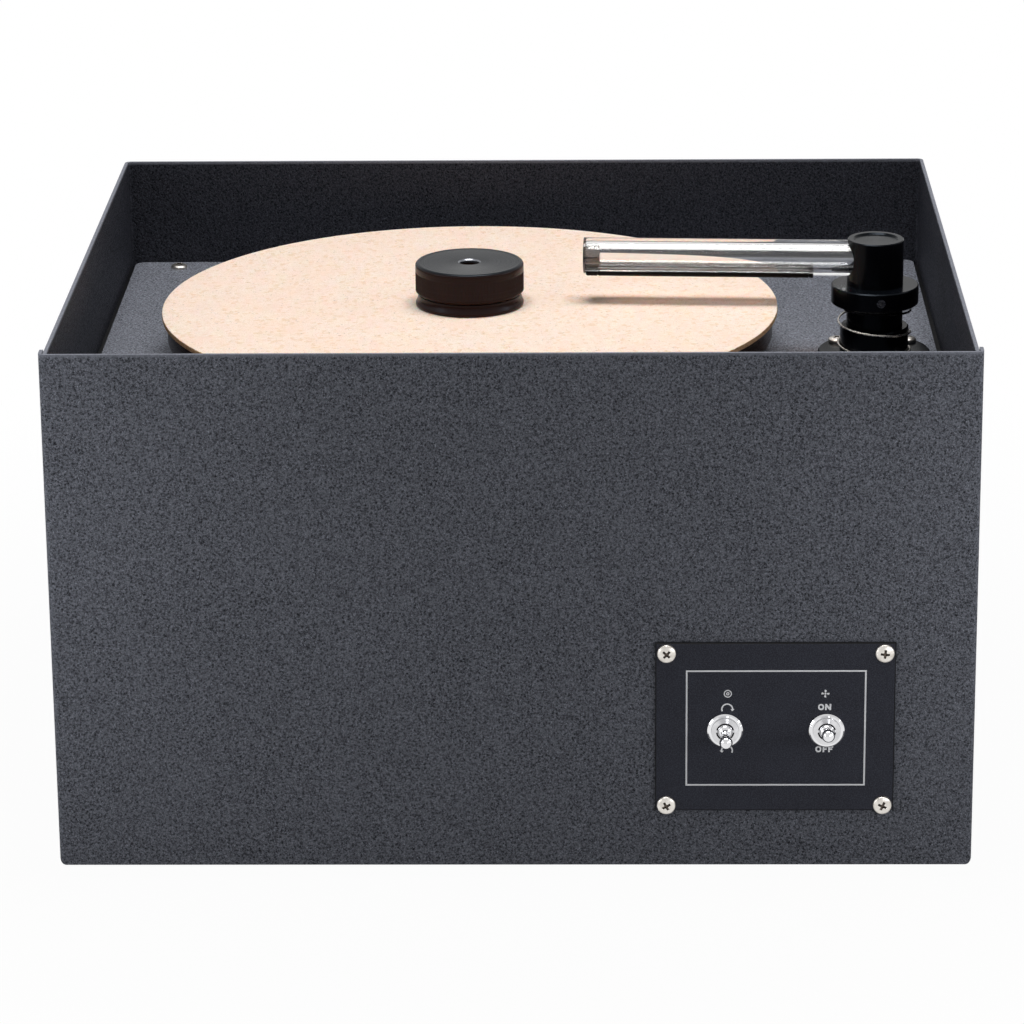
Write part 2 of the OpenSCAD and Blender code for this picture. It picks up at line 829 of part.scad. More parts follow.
module at_set_screw() {
  translate([post_at[0], post_at[1], collar_z + collar_h / 2])
    rotate([0, 0, set_screw_turn])
      rotate([90, 0, 0])
        children();
}

module at_plate_screws() {
  for (sx = [-1, 1], sz = [-1, 1])
    translate([
      plate_x + sx * plate_screw_w / 2,
      front_y,
      plate_z - plate_screw_drop + sz * plate_screw_h / 2
    ])
      rotate([90, 0, 0])
        children();
}

// Case

module front_outline() {
  translate([-front_w / 2, corner_r])
    square([front_w, case_h - corner_r]);
  translate([corner_r - front_w / 2, 0])
    square([front_w - 2 * corner_r, case_h]);
  for (s = [-1, 1])
    translate([s * (front_w / 2 - corner_r), corner_r])
      circle(corner_r);
}

module front_panel() {
  flange_x = inner_x - flange_w - pan_play;
  color([0.13, 0.135, 0.15])
    difference() {
      union() {
        intersection() {
          translate([0, front_y + return_d, foot_h])
            linear_extrude(case_h)
              mirror([0, 1])
                u_sheet(front_w, return_d, bend_r, lap_play, sheet_t);
          translate([0, front_y + return_d + over, foot_h])
            rotate([90, 0, 0])
              linear_extrude(return_d + 2 * over)
                front_outline();
        }
        block(-flange_x, flange_x, front_y + sheet_t / 2, inner_front + flange_w, floor_z, flange_z);
      }
      at_plate_screws()
        cylinder(h = 4 * sheet_t, r = screw_hole_r, center = true);
      for (x = [turntable_x, vacuum_x])
        at_switch(x)
          cylinder(h = 4 * sheet_t, r = bushing_hole_r, center = true);
      for (at = pan_screws_xy)
        rod(at, floor_z - over, flange_z + over, screw_hole_r);
    }
}

module vent_row(level) {
  for (i = [0:vent_count - 1])
    translate([vacuum_at[0] + vent_shift + (i - (vent_count - 1) / 2) * vent_pitch, level + vent_h / 2])
      slot_2d(vent_w, vent_h);
}

module back_cutouts() {
  translate([0, inner_back - over, foot_h])
    rotate([90, 0, 180])
      linear_extrude(sheet_t + 2 * over)
        mirror([1, 0])
          union() {
            vent_row(vent_level);
            vent_row(vent_level + vent_h + vent_pitch);
          }
}

module case_wrap() {
  side_y = inner_front + flange_w + pan_play;
  into_wall = inner_x + sheet_t / 2;
  color([0.10, 0.105, 0.115])
    difference() {
      union() {
        translate([0, inner_front, foot_h])
          linear_extrude(case_h)
            u_sheet(case_w, case_d - sheet_t, bend_r, bend_r - sheet_t, sheet_t);
        for (s = [0, 1])
          mirror([s, 0, 0]) {
            block(inner_x - flange_w, into_wall, side_y, inner_back, floor_z, flange_z);
            block(inner_x - flange_w, into_wall, inner_front, inner_front + sheet_t,
              flange_z + pan_play, flange_z + pan_play + upright_h);
          }
        block(-into_wall, into_wall, inner_back - flange_w, back_y - sheet_t / 2, floor_z, flange_z);
      }
      back_cutouts();
      block(inlet_x - inlet_body_w / 2 - stop_gap, inlet_x + inlet_body_w / 2 + stop_gap,
        inner_back - over, back_y + over,
        inlet_at[2] - inlet_body_h / 2 - stop_gap, inlet_at[2] + inlet_body_h / 2 + stop_gap);
      for (s = [-1, 1])
        at_back(inlet_x + s * inlet_screw_x, inlet_at[2])
          cylinder(h = 4 * sheet_t, r = screw_hole_r, center = true);
      at_back(drain_x, drain_z)
        cylinder(h = 4 * sheet_t, r = shank_dia / 2 + screw_play, center = true);
      for (at = pan_screws_xy)
        rod(at, floor_z - over, flange_z + over, screw_hole_r);
    }
}

module bottom_pan() {
  pan_d = inner_back - inner_front - 2 * pan_play;
  color([0.12, 0.12, 0.13])
    difference() {
      translate([0, (inner_front + inner_back) / 2, foot_h])
        linear_extrude(sheet_t)
          rounded_plan(2 * (inner_x - pan_play), pan_d, bend_r);
      for (at = concat(pan_screws_xy, feet_xy, tank_feet_xy, leg_screws_xy()))
        rod(at, foot_h - over, floor_z + over, screw_hole_r);
      rod(capacitor_at, foot_h - over, floor_z + over, 4 + screw_play);
      translate([0, mid_y, foot_h - over])
        linear_extrude(sheet_t + 2 * over)
          rotate([0, 0, 90])
            for (i = [-3:3])
              translate([i * vent_pitch, -vent_h])
                slot_2d(vent_w, vent_h);
    }
}

module bottom_screws() {
  color("silver")
    for (at = pan_screws_xy)
      translate([at[0], at[1], foot_h])
        rotate([180, 0, 0])
          pan_screw(2 * sheet_t + screw_play);
}

module feet() {
  color([0.07, 0.07, 0.07])
    for (at = feet_xy)
      difference() {
        rod(at, 0, foot_h, foot_dia / 2);
        rod(at, -over, foot_recess, head_dia / 2 + 1);
        rod(at, 0, foot_h + over, screw_hole_r);
      }
}

module foot_screws() {
  color("silver")
    for (at = feet_xy)
      translate([at[0], at[1], foot_recess])
        rotate([180, 0, 0])
          pan_screw(foot_h - foot_recess + 2 * sheet_t);
}

// Deck

module deck_plate() {
  color([0.17, 0.175, 0.19])
    difference() {
      translate([0, (inner_front + inner_back) / 2, under_deck])
        linear_extrude(deck_t)
          rounded_plan(2 * (inner_x - deck_side_gap),
            inner_back - inner_front - 2 * deck_end_gap, deck_corner_r);
      rod(platter_at, under_deck - over, deck_z + over, pilot_dia / 2 + screw_play);
      rod(post_at, under_deck - over, deck_z + over, sleeve_r + screw_play);
      for (at = concat(gearbox_screws_xy, flange_screws_xy, deck_screws_xy()))
        rod(at, under_deck - over, deck_z + over, screw_hole_r);
    }
}

function deck_screws_xy() = [
  for (sx = [-1, 1], y = [deck_screw_front, deck_screw_back]) [sx * deck_screw_x, y]
];

module deck_brackets() {
  margin = 4;
  z1 = under_deck;
  y0 = inner_front + margin;
  y1 = inner_back - margin;
  color([0.3, 0.31, 0.33])
    difference() {
      for (s = [-1, 1])
        mirror([s < 0 ? 1 : 0, 0]) {
          block(inner_x - bracket_w, inner_x, y0, y1, z1 - bracket_t, z1);
          block(inner_x - bracket_t, inner_x, y0, y1, z1 - bracket_h, z1);
        }
      for (at = deck_screws_xy())
        rod(at, z1 - bracket_h, z1 + over, screw_hole_r);
      rod(post_at, z1 - bracket_t - over, z1 + over, bracket_window_r);
    }
}

module deck_screws() {
  color("silver")
    for (at = deck_screws_xy())
      translate([at[0], at[1], deck_z])
        pan_screw(screw_len);
}

// Control plate and switches

function bevel_points(w, t, b) = [
  [-w / 2, 0],
  [w / 2, 0],
  [w / 2, t - b],
  [w / 2 - b, t],
  [b - w / 2, t],
  [-w / 2, t - b]
];

module bevelled_plate(w, h, t, b) {
  intersection() {
    rotate([90, 0, 0])
      translate([0, 0, -h / 2])
        linear_extrude(h)
          polygon(bevel_points(w, t, b));
    rotate([90, 0, 90])
      translate([0, 0, -w / 2])
        linear_extrude(w)
          polygon(bevel_points(h, t, b));
  }
}

module control_plate() {
  color([0.09, 0.095, 0.11])
    difference() {
      translate([plate_x, front_y, plate_z])
        rotate([90, 0, 0])
          bevelled_plate(plate_w, plate_h, plate_t, plate_bevel);
      at_plate_screws()
        cylinder(h = 4 * plate_t, r = screw_hole_r, center = true);
      for (x = [turntable_x, vacuum_x])
        at_switch(x)
          cylinder(h = 4 * nut_base, r = bushing_hole_r, center = true);
    }
}

module plate_screws() {
  color("silver")
    at_plate_screws()
      translate([0, 0, plate_t])
        pan_screw(screw_len);
}

module toggle_switch() {
  difference() {
    union() {
      color("silver")
        cylinder(h = bushing_len, r = bushing_dia / 2);
      color([0.15, 0.15, 0.16])
        translate([-switch_w / 2, -switch_h / 2, -switch_d])
          cube([switch_w, switch_h, switch_d]);
    }
    translate([0, 0, -switch_bore_depth])
      cylinder(h = bushing_len + switch_bore_depth + over, r = bushing_bore / 2);
    translate([0, 0, pivot_level])
      rotate([0, 90, 0])
        cylinder(h = bushing_dia - 1.6, r = pivot_r + pivot_play, center = true);
  }
}

module turntable_switch() {
  at_switch(turntable_x)
    toggle_switch();
}

module vacuum_switch() {
  at_switch(vacuum_x)
    toggle_switch();
}

module switch_nuts() {
  bevel = 0.6;
  color([0.8, 0.8, 0.82])
    for (x = [turntable_x, vacuum_x])
      at_switch(x)
        translate([0, 0, nut_base])
          rotate_extrude()
            polygon([
              [bushing_dia / 2 + pivot_play, 0],
              [nut_dia / 2, 0],
              [nut_dia / 2, nut_t - bevel],
              [nut_dia / 2 - bevel, nut_t],
              [bushing_dia / 2 + pivot_play, nut_t]
            ]);
}

module bat_lever() {
  boss_r = 2.6;
  boss_w = 4.4;
  tail = 4.5;
  rotate([0, 90, 0])
    cylinder(h = boss_w, r = boss_r, center = true);
  rotate([0, 90, 0])
    cylinder(h = bushing_dia - 1.8, r = pivot_r, center = true);
  cylinder(h = lever_len * 0.35, r = lever_neck_r);
  translate([0, 0, lever_len * 0.35])
    cylinder(h = lever_len * 0.65, r1 = lever_neck_r, r2 = lever_tip_r * 0.99);
  translate([0, 0, lever_len])
    sphere(lever_tip_r);
  translate([0, 0, -tail])
    cylinder(h = tail, r = lever_neck_r);
}

module turntable_lever() {
  color([0.85, 0.85, 0.87])
    at_switch(turntable_x)
      translate([0, 0, pivot_level])
        bat_lever();
}

module vacuum_lever() {
  color([0.85, 0.85, 0.87])
    at_switch(vacuum_x)
      translate([0, 0, pivot_level])
        rotate([-lever_tilt, 0, 0])
          bat_lever();
}

// Gear motor, hub and platter

module gearbox() {
  depth = gearbox_h - 6;
  color([0.5, 0.5, 0.52])
    difference() {
      union() {
        translate([gearbox_at[0], gearbox_at[1], under_deck - gearbox_h])
          linear_extrude(gearbox_h)
            rounded_plan(gearbox_w, gearbox_w, 6);
        rod(platter_at, under_deck - over, deck_z, pilot_dia / 2);
      }
      rod(platter_at, under_deck - depth, deck_z + over, shaft_dia / 2 + shaft_play);
      for (at = gearbox_screws_xy)
        rod(at, under_deck - screw_len, under_deck + over, screw_hole_r);
    }
}

module gearbox_screws() {
  color("silver")
    for (at = gearbox_screws_xy)
      translate([at[0], at[1], deck_z])
        pan_screw(screw_len);
}

module motor_body() {
  top = under_deck - gearbox_h;
  groove = 1.5;
  r = motor_dia / 2;
  color([0.25, 0.26, 0.28])
    difference() {
      rod(gearbox_at, top - motor_len, top, r);
      for (k = [1:4])
        pipe(gearbox_at, top - k * motor_len / 6 - 3, top - k * motor_len / 6, r + over, r - groove);
    }
}

module motor_capacitor() {
  color([0.75, 0.75, 0.78]) {
    rod(capacitor_at, floor_z, floor_z + capacitor_h, capacitor_dia / 2);
    rod(capacitor_at, foot_h - 1, floor_z + over, 4);
  }
}

module output_shaft() {
  color([0.7, 0.7, 0.72])
    rod(platter_at, under_deck - gearbox_h + 8, platter_under - 0.5, shaft_dia / 2);
}

module at_hub_screw() {
  translate([platter_at[0], platter_at[1], (deck_z + hub_gap + hub_under) / 2])
    rotate([90, 0, 0])
      children();
}

module platter_hub() {
  color([0.6, 0.6, 0.62])
    difference() {
      union() {
        rod(platter_at, hub_under, platter_under, hub_flange_dia / 2);
        rod(platter_at, deck_z + hub_gap, hub_under + over, hub_dia / 2);
      }
      rod(platter_at, deck_z, platter_under + over, shaft_dia / 2 + seat_play);
      for (at = platter_screws_xy())
        rod(at, hub_under - over, platter_under + over, screw_hole_r);
      at_hub_screw()
        cylinder(h = hub_dia, r = 2 + seat_play);
    }
}

module hub_set_screw() {
  start = shaft_dia / 2 + 0.1;
  color([0.2, 0.2, 0.22])
    at_hub_screw()
      translate([0, 0, start])
        socket_screw(2, hub_dia / 2 - start - 1);
}

function platter_screws_xy() = [
  for (a = [30:120:270]) platter_at + platter_screw_r * [cos(a), sin(a)]
];

module platter() {
  r = platter_dia / 2;
  bevel = platter_bevel;
  color([0.07, 0.07, 0.08])
    difference() {
      translate([platter_at[0], platter_at[1], platter_under])
        rotate_extrude($fn = 180)
          polygon([
            [spindle_dia / 2 + seat_play, 0],
            [core_r, 0],
            [core_r + platter_recess, platter_recess],
            [r - rim_w - platter_recess, platter_recess],
            [r - rim_w, 0],
            [r - bevel, 0],
            [r, bevel],
            [r, platter_t - bevel],
            [r - bevel, platter_t],
            [spindle_collar_dia / 2 + seat_play, platter_t],
            [spindle_collar_dia / 2 + seat_play, platter_t - spindle_collar_t],
            [spindle_dia / 2 + seat_play, platter_t - spindle_collar_t]
          ]);
      for (at = platter_screws_xy()) {
        rod(at, platter_under - over, platter_z + over, screw_hole_r);
        translate([at[0], at[1], platter_z - sink_h - seat_play])
          cylinder(h = sink_h + 2 * seat_play, r1 = screw_r + seat_play, r2 = head_dia / 2 + 3 * seat_play);
      }
    }
}

module platter_screws() {
  color("silver")
    for (at = platter_screws_xy())
      difference() {
        union() {
          translate([at[0], at[1], platter_z - sink_h])
            cylinder(h = sink_h, r1 = screw_r, r2 = head_dia / 2);
          rod(at, hub_under, platter_z - sink_h, screw_r);
        }
        for (a = [0, 90])
          translate([at[0], at[1], platter_z])
            rotate([0, 0, a])
              cube([head_dia * 0.5, head_dia * 0.11, head_h], center = true);
      }
}

module cork_mat() {
  color([0.93, 0.80, 0.66])
    translate([platter_at[0], platter_at[1], platter_z])
      difference() {
        cylinder(h = mat_t, r = mat_dia / 2, $fn = 180);
        translate([0, 0, -over])
          cylinder(h = mat_t + 2 * over, r = mat_hole_dia / 2);
      }
}

module spindle() {
  bevel = 0.6;
  r = spindle_dia / 2;
  color([0.8, 0.8, 0.82])
    union() {
      translate([platter_at[0], platter_at[1], 0])
        rotate_extrude()
          polygon([
            [0, platter_under + 2],
            [r, platter_under + 2],
            [r, spindle_top - bevel],
            [r - bevel, spindle_top],
            [0, spindle_top]
          ]);
      rod(platter_at, platter_z - spindle_collar_t + seat_play, platter_z, spindle_collar_dia / 2);
    }
}

// Clamp

module clamp_foot() {
  h = clamp_foot_top - clamp_foot_under;
  rise = 1.2;
  steps = 8;
  color([0.05, 0.05, 0.055])
    translate([platter_at[0], platter_at[1], clamp_foot_under])
      rotate_extrude()
        polygon(concat(
          [
            [journal_r + thread_play, pad_t],
            [clamp_neck_r - pad_w, pad_t],
            [clamp_neck_r - pad_w, pad_t * 0.6],
            [clamp_neck_r, pad_t * 0.6],
            [clamp_neck_r, 0],
            [clamp_foot_r - 0.3, 0],
            [clamp_foot_r, 0.3]
          ],
          [
            for (i = [0:steps])
              let (t = i / steps)
              [clamp_neck_r + (clamp_foot_r - clamp_neck_r) * pow(1 - t, 2), rise + (h - rise) * t]
          ],
          [[journal_r + thread_play, h]]
        ));
}

module clamp_pad() {
  pad_r = clamp_neck_r - seat_play;
  color([0.09, 0.09, 0.09])
    pipe(platter_at, clamp_foot_under, clamp_foot_under + pad_t * 0.6 - seat_play,
      pad_r, pad_r - pad_w + 2 * seat_play);
}

module clamp_knob() {
  hole_r = knob_hole_dia / 2;
  thread_r = spindle_dia / 2 + thread_play;
  groove_r = journal_r - 0.8;
  color([0.05, 0.05, 0.055])
    translate([platter_at[0], platter_at[1], 0])
      rotate_extrude()
        polygon(concat(
          [
            [thread_r, journal_under - clamp_ring_t],
            [groove_r, journal_under - clamp_ring_t],
            [groove_r, journal_under],
            [journal_r, journal_under],
            [journal_r, knob_under],
            [knob_r - knob_bevel, knob_under],
            [knob_r, knob_under + knob_bevel]
          ],
          [
            for (a = [0:15:90])
              [
                knob_r - knob_round * (1 - cos(a)),
                knob_top - knob_round * (1 - sin(a))
              ]
          ],
          [
            [knob_r - knob_round - 1, knob_top - knob_dish],
            [hole_r + 0.6, knob_top - knob_dish],
            [hole_r, knob_top - knob_dish - 0.6],
            [hole_r, spindle_top],
            [thread_r, spindle_top]
          ]
        ));
}

module clamp_ring() {
  color([0.6, 0.6, 0.62])
    pipe(platter_at, journal_under - clamp_ring_t + seat_play, journal_under - seat_play,
      journal_r + 2, journal_r - 0.8 + seat_play);
}

// Post, collar, spring and pick-up tube

module post_flange() {
  bevel = 0.6;
  color([0.05, 0.05, 0.055])
    difference() {
      translate([post_at[0], post_at[1], 0])
        rotate_extrude()
          polygon([
            [post_r + post_play, sleeve_under],
            [sleeve_r, sleeve_under],
            [sleeve_r, deck_z],
            [flange_dia / 2, deck_z],
            [flange_dia / 2, deck_z + flange_t - bevel],
            [flange_dia / 2 - bevel, deck_z + flange_t],
            [sleeve_r, deck_z + flange_t],
            [sleeve_r, sleeve_top - bevel],
            [sleeve_r - bevel, sleeve_top],
            [post_r + post_play, sleeve_top]
          ]);
      for (at = flange_screws_xy)
        rod(at, deck_z - over, deck_z + flange_t + over, screw_hole_r);
    }
}

module flange_screws() {
  color("silver")
    for (at = flange_screws_xy)
      translate([at[0], at[1], deck_z + flange_t])
        pan_screw(screw_len + flange_t - 2);
}

module post_spring() {
  color([0.75, 0.73, 0.70])
    path_tube(spring_path, wire_r, 6, [0, 0, 1]);
}

module spring_washer() {
  color([0.2, 0.2, 0.21])
    pipe(post_at, washer_under, washer_top, sleeve_r + spring_play + 2 * wire_dia, sleeve_r + spring_play);
}

module swing_post() {
  edge = 0.4;
  color([0.05, 0.05, 0.055])
    difference() {
      translate([post_at[0], post_at[1], 0])
        rotate_extrude()
          polygon([
            [0, post_under],
            [post_r, post_under],
            [post_r, ring_top - ring_t],
            [post_r - groove_depth, ring_top - ring_t],
            [post_r - groove_depth, ring_top],
            [post_r, ring_top],
            [post_r, post_top_z - edge],
            [post_r - edge, post_top_z],
            [post_r - post_rim, post_top_z],
            [post_r - post_rim - post_dish, post_top_z - post_dish],
            [0, post_top_z - post_dish]
          ]);
      rod(post_at, post_under - over, tube_z, post_bore / 2);
      translate([post_at[0], post_at[1], tube_z])
        intersection() {
          sphere(post_bore / 2);
          cylinder(h = post_top_z - tube_z - post_dish - 1.2, r = post_bore);
        }
      at_tube()
        cylinder(h = post_r + over, r = tube_bore / 2);
      at_tube()
        translate([0, 0, tube_start - seat_play])
          cylinder(h = post_r, r = tube_r + seat_play);
    }
}

module post_collar() {
  edge = 0.5;
  inner = post_r + seat_play;
  color([0.05, 0.05, 0.055])
    difference() {
      translate([post_at[0], post_at[1], collar_z])
        rotate_extrude()
          polygon([
            [inner, 0],
            [collar_dia / 2 - edge, 0],
            [collar_dia / 2, edge],
            [collar_dia / 2, collar_h - edge],
            [collar_dia / 2 - edge, collar_h],
            [inner, collar_h]
          ]);
      at_set_screw()
        cylinder(h = collar_dia, r = 2 + seat_play);
    }
}

module collar_set_screw() {
  start = post_r + 0.1;
  color([0.55, 0.55, 0.57])
    at_set_screw()
      translate([0, 0, start])
        socket_screw(2, collar_dia / 2 - start - 0.5);
}

module retaining_ring() {
  color([0.5, 0.5, 0.52])
    pipe(post_at, ring_top - ring_t + seat_play, ring_top - seat_play,
      sleeve_r, post_r - groove_depth + seat_play);
}

module pickup_tube() {
  slot_a = felt_start + slot_end;
  slot_b = felt_end - slot_end - plug_disc_t - plug_len + 2 * slot_end;
  color([0.85, 0.9, 0.93, 0.5])
    at_tube()
      difference() {
        translate([0, 0, tube_start])
          cylinder(h = tube_reach - plug_disc_t - tube_start, r = tube_r);
        cylinder(h = tube_reach, r = tube_bore / 2);
        translate([-tube_r - over, -slot_w / 2, slot_a])
          cube([tube_r + over, slot_w, slot_b - slot_a]);
      }
}

module tube_plug() {
  color([0.75, 0.8, 0.82])
    at_tube() {
      translate([0, 0, tube_reach - plug_disc_t])
        cylinder(h = plug_disc_t, r = tube_r);
      translate([0, 0, tube_reach - plug_disc_t - plug_len])
        cylinder(h = plug_len + 0.1, r = tube_bore / 2 - seat_play);
    }
}

module felt_lips() {
  inner_r = tube_r + seat_play;
  outer_r = inner_r + felt_t;
  slot_a = felt_start + slot_end;
  slot_b = felt_end - slot_end - plug_disc_t - plug_len + 2 * slot_end;
  color([0.05, 0.05, 0.05])
    at_tube()
      difference() {
        intersection() {
          translate([0, 0, felt_start])
            cylinder(h = felt_end - felt_start, r = outer_r);
          translate([-outer_r - over, -felt_w / 2, felt_start - over])
            cube([outer_r + over, felt_w, felt_end - felt_start + 2 * over]);
        }
        cylinder(h = tube_reach, r = inner_r);
        translate([-outer_r - over, -slot_w / 2, slot_a])
          cube([outer_r, slot_w, slot_b - slot_a]);
      }
}

module post_seal() {
  seat_z = neck_top - seal_h - 1;
  color([0.06, 0.06, 0.06])
    pipe(post_at, seat_z, seat_z + seal_h, seal_seat_r - seat_play, post_r + seal_gap);
}

// Waste tank

module tank_plan(inset) {
  translate(tank_at)
    rounded_plan(tank_w - 2 * inset, tank_l - 2 * inset, tank_corner_r - inset);
}

module tank_rim_plan() {
  difference() {
    union() {
      difference() {
        tank_plan(0);
        tank_plan(tank_wall);
      }
      for (at = lid_screws_xy)
        translate(at)
          circle(boss_r);
    }
    for (at = lid_screws_xy)
      translate(at)
        circle(screw_hole_r);
  }
}

module waste_tank() {
  boss_h = 24;
  color([0.82, 0.83, 0.8])
    difference() {
      union() {
        translate([0, 0, tank_z])
          linear_extrude(tank_rim - tank_z)
            difference() {
              tank_plan(0);
              tank_plan(tank_wall);
            }
        translate([0, 0, tank_z])
          linear_extrude(tank_wall)
            tank_plan(0);
        for (at = lid_screws_xy)
          rod(at, tank_rim - boss_h, tank_rim, boss_r);
        for (at = tank_feet_xy)
          rod(at, floor_z, tank_z + 8, boss_r);
        at_back(drain_x, drain_z)
          translate([0, 0, -sheet_t - tank_back_gap - tank_wall - 6])
            cylinder(h = tank_wall + 6, r = shank_dia / 2 + 3);
      }
      for (at = lid_screws_xy)
        rod(at, tank_rim - boss_h + 4, tank_rim + over, screw_hole_r);
      for (at = tank_feet_xy)
        rod(at, floor_z - over, tank_z + 5, screw_hole_r);
      at_back(drain_x, drain_z)
        translate([0, 0, -sheet_t - tank_back_gap - tank_wall - 7])
          cylinder(h = tank_wall + 8, r = shank_dia / 2 + seat_play);
    }
}

module tank_gasket() {
  color([0.08, 0.08, 0.08])
    translate([0, 0, tank_rim])
      linear_extrude(gasket_t)
        tank_rim_plan();
}

module tank_lid() {
  seat_z = neck_top - seal_h - 1;
  color([0.78, 0.79, 0.77])
    difference() {
      union() {
        translate([0, 0, lid_z])
          linear_extrude(lid_t)
            tank_plan(0);
        rod(post_at, lid_z, neck_top, neck_dia / 2);
        rod(spigot_at, lid_z, lid_top + spigot_len, spigot_dia / 2);
        translate([tank_at[0], baffle_y, 0])
          block(4 * tank_wall - tank_w / 2, tank_w / 2 - 4 * tank_wall,
            -tank_wall / 2, tank_wall / 2, lid_z - baffle_h, lid_z + over);
      }
      rod(post_at, lid_z - over, neck_top + over, neck_bore_r);
      rod(post_at, seat_z, neck_top + over, seal_seat_r);
      rod(spigot_at, lid_z - over, lid_top + spigot_len + over, spigot_bore / 2);
      for (at = lid_screws_xy)
        rod(at, lid_z - over, lid_top + over, screw_hole_r);
    }
}

module lid_screws() {
  color("silver")
    for (at = lid_screws_xy)
      translate([at[0], at[1], lid_top])
        pan_screw(screw_len + lid_t + gasket_t);
}

// Vacuum motor

function leg_screws_xy() = [for (a = [45:90:315]) vacuum_at + leg_circle * [cos(a), sin(a)]];

function housing_screws_xy() = [for (a = [0:90:270]) vacuum_at + leg_circle * [cos(a), sin(a)]];

module vacuum_bracket() {
  color([0.3, 0.31, 0.33])
    difference() {
      union() {
        pipe(vacuum_at, bracket_z, bracket_z + bracket_t, fan_r + 2, motor_window_r);
        for (at = leg_screws_xy())
          rod(at, floor_z, bracket_z + 0.5, leg_dia / 2);
      }
      for (at = leg_screws_xy())
        rod(at, floor_z - over, floor_z + screw_len, screw_hole_r);
      for (at = housing_screws_xy())
        rod(at, bracket_z - over, bracket_z + bracket_t + over, screw_hole_r);
    }
}

module vacuum_gasket() {
  color([0.08, 0.08, 0.08])
    difference() {
      pipe(vacuum_at, gasket_z, fan_z, fan_r, motor_window_r);
      for (at = housing_screws_xy())
        rod(at, gasket_z - over, fan_z + over, screw_hole_r);
    }
}

module chassis_screws() {
  color("silver") {
    for (at = concat(leg_screws_xy(), tank_feet_xy))
      translate([at[0], at[1], foot_h])
        rotate([180, 0, 0])
          pan_screw(screw_len - 1);
    for (at = housing_screws_xy())
      translate([at[0], at[1], bracket_z])
        rotate([180, 0, 0])
          pan_screw(bracket_t + gasket_t + fan_wall - 1);
  }
}

module vacuum_motor() {
  r = vacuum_motor_dia / 2;
  color([0.35, 0.36, 0.38])
    difference() {
      rod(vacuum_at, fan_z - vacuum_motor_len, fan_z, r);
      rod(vacuum_at, fan_z - 34, fan_z + over, fan_shaft_dia / 2 + shaft_play);
      for (k = [0:11])
        translate([vacuum_at[0], vacuum_at[1], fan_z - vacuum_motor_len + 14])
          rotate([0, 0, 30 * k])
            translate([r - 4, -3, 0])
              cube([8, 6, 22]);
    }
}

module fan_housing() {
  inner_r = fan_r - fan_wall;
  port_w = 16;
  color([0.6, 0.61, 0.63])
    difference() {
      union() {
        rod(vacuum_at, fan_z, fan_top, fan_r);
        rod(vacuum_at, fan_top - over, fan_top + spigot_len, spigot_dia / 2);
      }
      rod(vacuum_at, chamber_z, chamber_top, inner_r);
      rod(vacuum_at, fan_z - over, chamber_z + over, fan_shaft_dia / 2 + 4);
      rod(vacuum_at, chamber_top - over, fan_top + spigot_len + over, spigot_bore / 2);
      for (k = [0:5])
        translate([vacuum_at[0], vacuum_at[1], chamber_z + 5])
          rotate([0, 0, 60 * k + 30])
            translate([inner_r - 5, -port_w / 2, 0])
              cube([fan_wall + 10, port_w, fan_chamber_h - 10]);
      for (at = housing_screws_xy())
        rod(at, fan_z - over, fan_z + fan_wall - 0.5, screw_hole_r);
    }
}

module impeller() {
  disc_t = 2;
  low = chamber_z + 6;
  high = chamber_top - 8;
  hub_r = 9;
  r = fan_r - fan_wall - impeller_gap;
  color([0.72, 0.73, 0.75]) {
    rod(vacuum_at, low, low + disc_t, r);
    pipe(vacuum_at, high - disc_t, high, r, spigot_bore / 2 + 4);
    rod(vacuum_at, low - 3, high - disc_t, hub_r);
    rod(vacuum_at, fan_z - 32, low, fan_shaft_dia / 2);
    for (k = [0:blade_count - 1])
      translate([vacuum_at[0], vacuum_at[1], low + disc_t / 2])
        rotate([0, 0, 360 * k / blade_count])
          translate([spigot_bore / 2 + 6, 0, 0])
            rotate([0, 0, -28])
              cube([r - spigot_bore / 2 - 12, 1.6, high - low - disc_t]);
  }
}

module hose_elbow(bore) {
  rotate([90, 0, 0])
    rotate_extrude(angle = 90)
      translate([hose_bend_r, 0])
        circle(bore);
}

module hose_shape(r) {
  turn = hose_z - hose_bend_r;
  x0 = vacuum_at[0] + hose_bend_r;
  run = spigot_at[0] - hose_bend_r - x0;
  for (leg = [[vacuum_at, fan_top], [spigot_at, lid_top]])
    translate([leg[0][0], leg[0][1], turn])
      rotate([180, 0, 0])
        cylinder(h = turn - leg[1] - hose_seat, r = r);
  translate([x0, vacuum_at[1], turn])
    mirror([1, 0, 0])
      hose_elbow(r);
  translate([x0 + run, spigot_at[1], turn])
    hose_elbow(r);
  translate([x0, vacuum_at[1], hose_z])
    rotate([0, 90, 0])
      cylinder(h = run, r = r);
}

module air_hose() {
  low = fan_top + hose_seat;
  end = lid_top + hose_seat;
  color([0.12, 0.12, 0.13])
    difference() {
      hose_shape(hose_outer_r);
      hose_shape(hose_r);
      rod(vacuum_at, low - over, low + over, hose_r);
      rod(spigot_at, end - over, end + over, hose_r);
    }
}

// Power inlet

module socket_plan(w, h, c) {
  polygon([
    [-w / 2, -h / 2 + c],
    [c - w / 2, -h / 2],
    [w / 2 - c, -h / 2],
    [w / 2, -h / 2 + c],
    [w / 2, h / 2],
    [-w / 2, h / 2]
  ]);
}

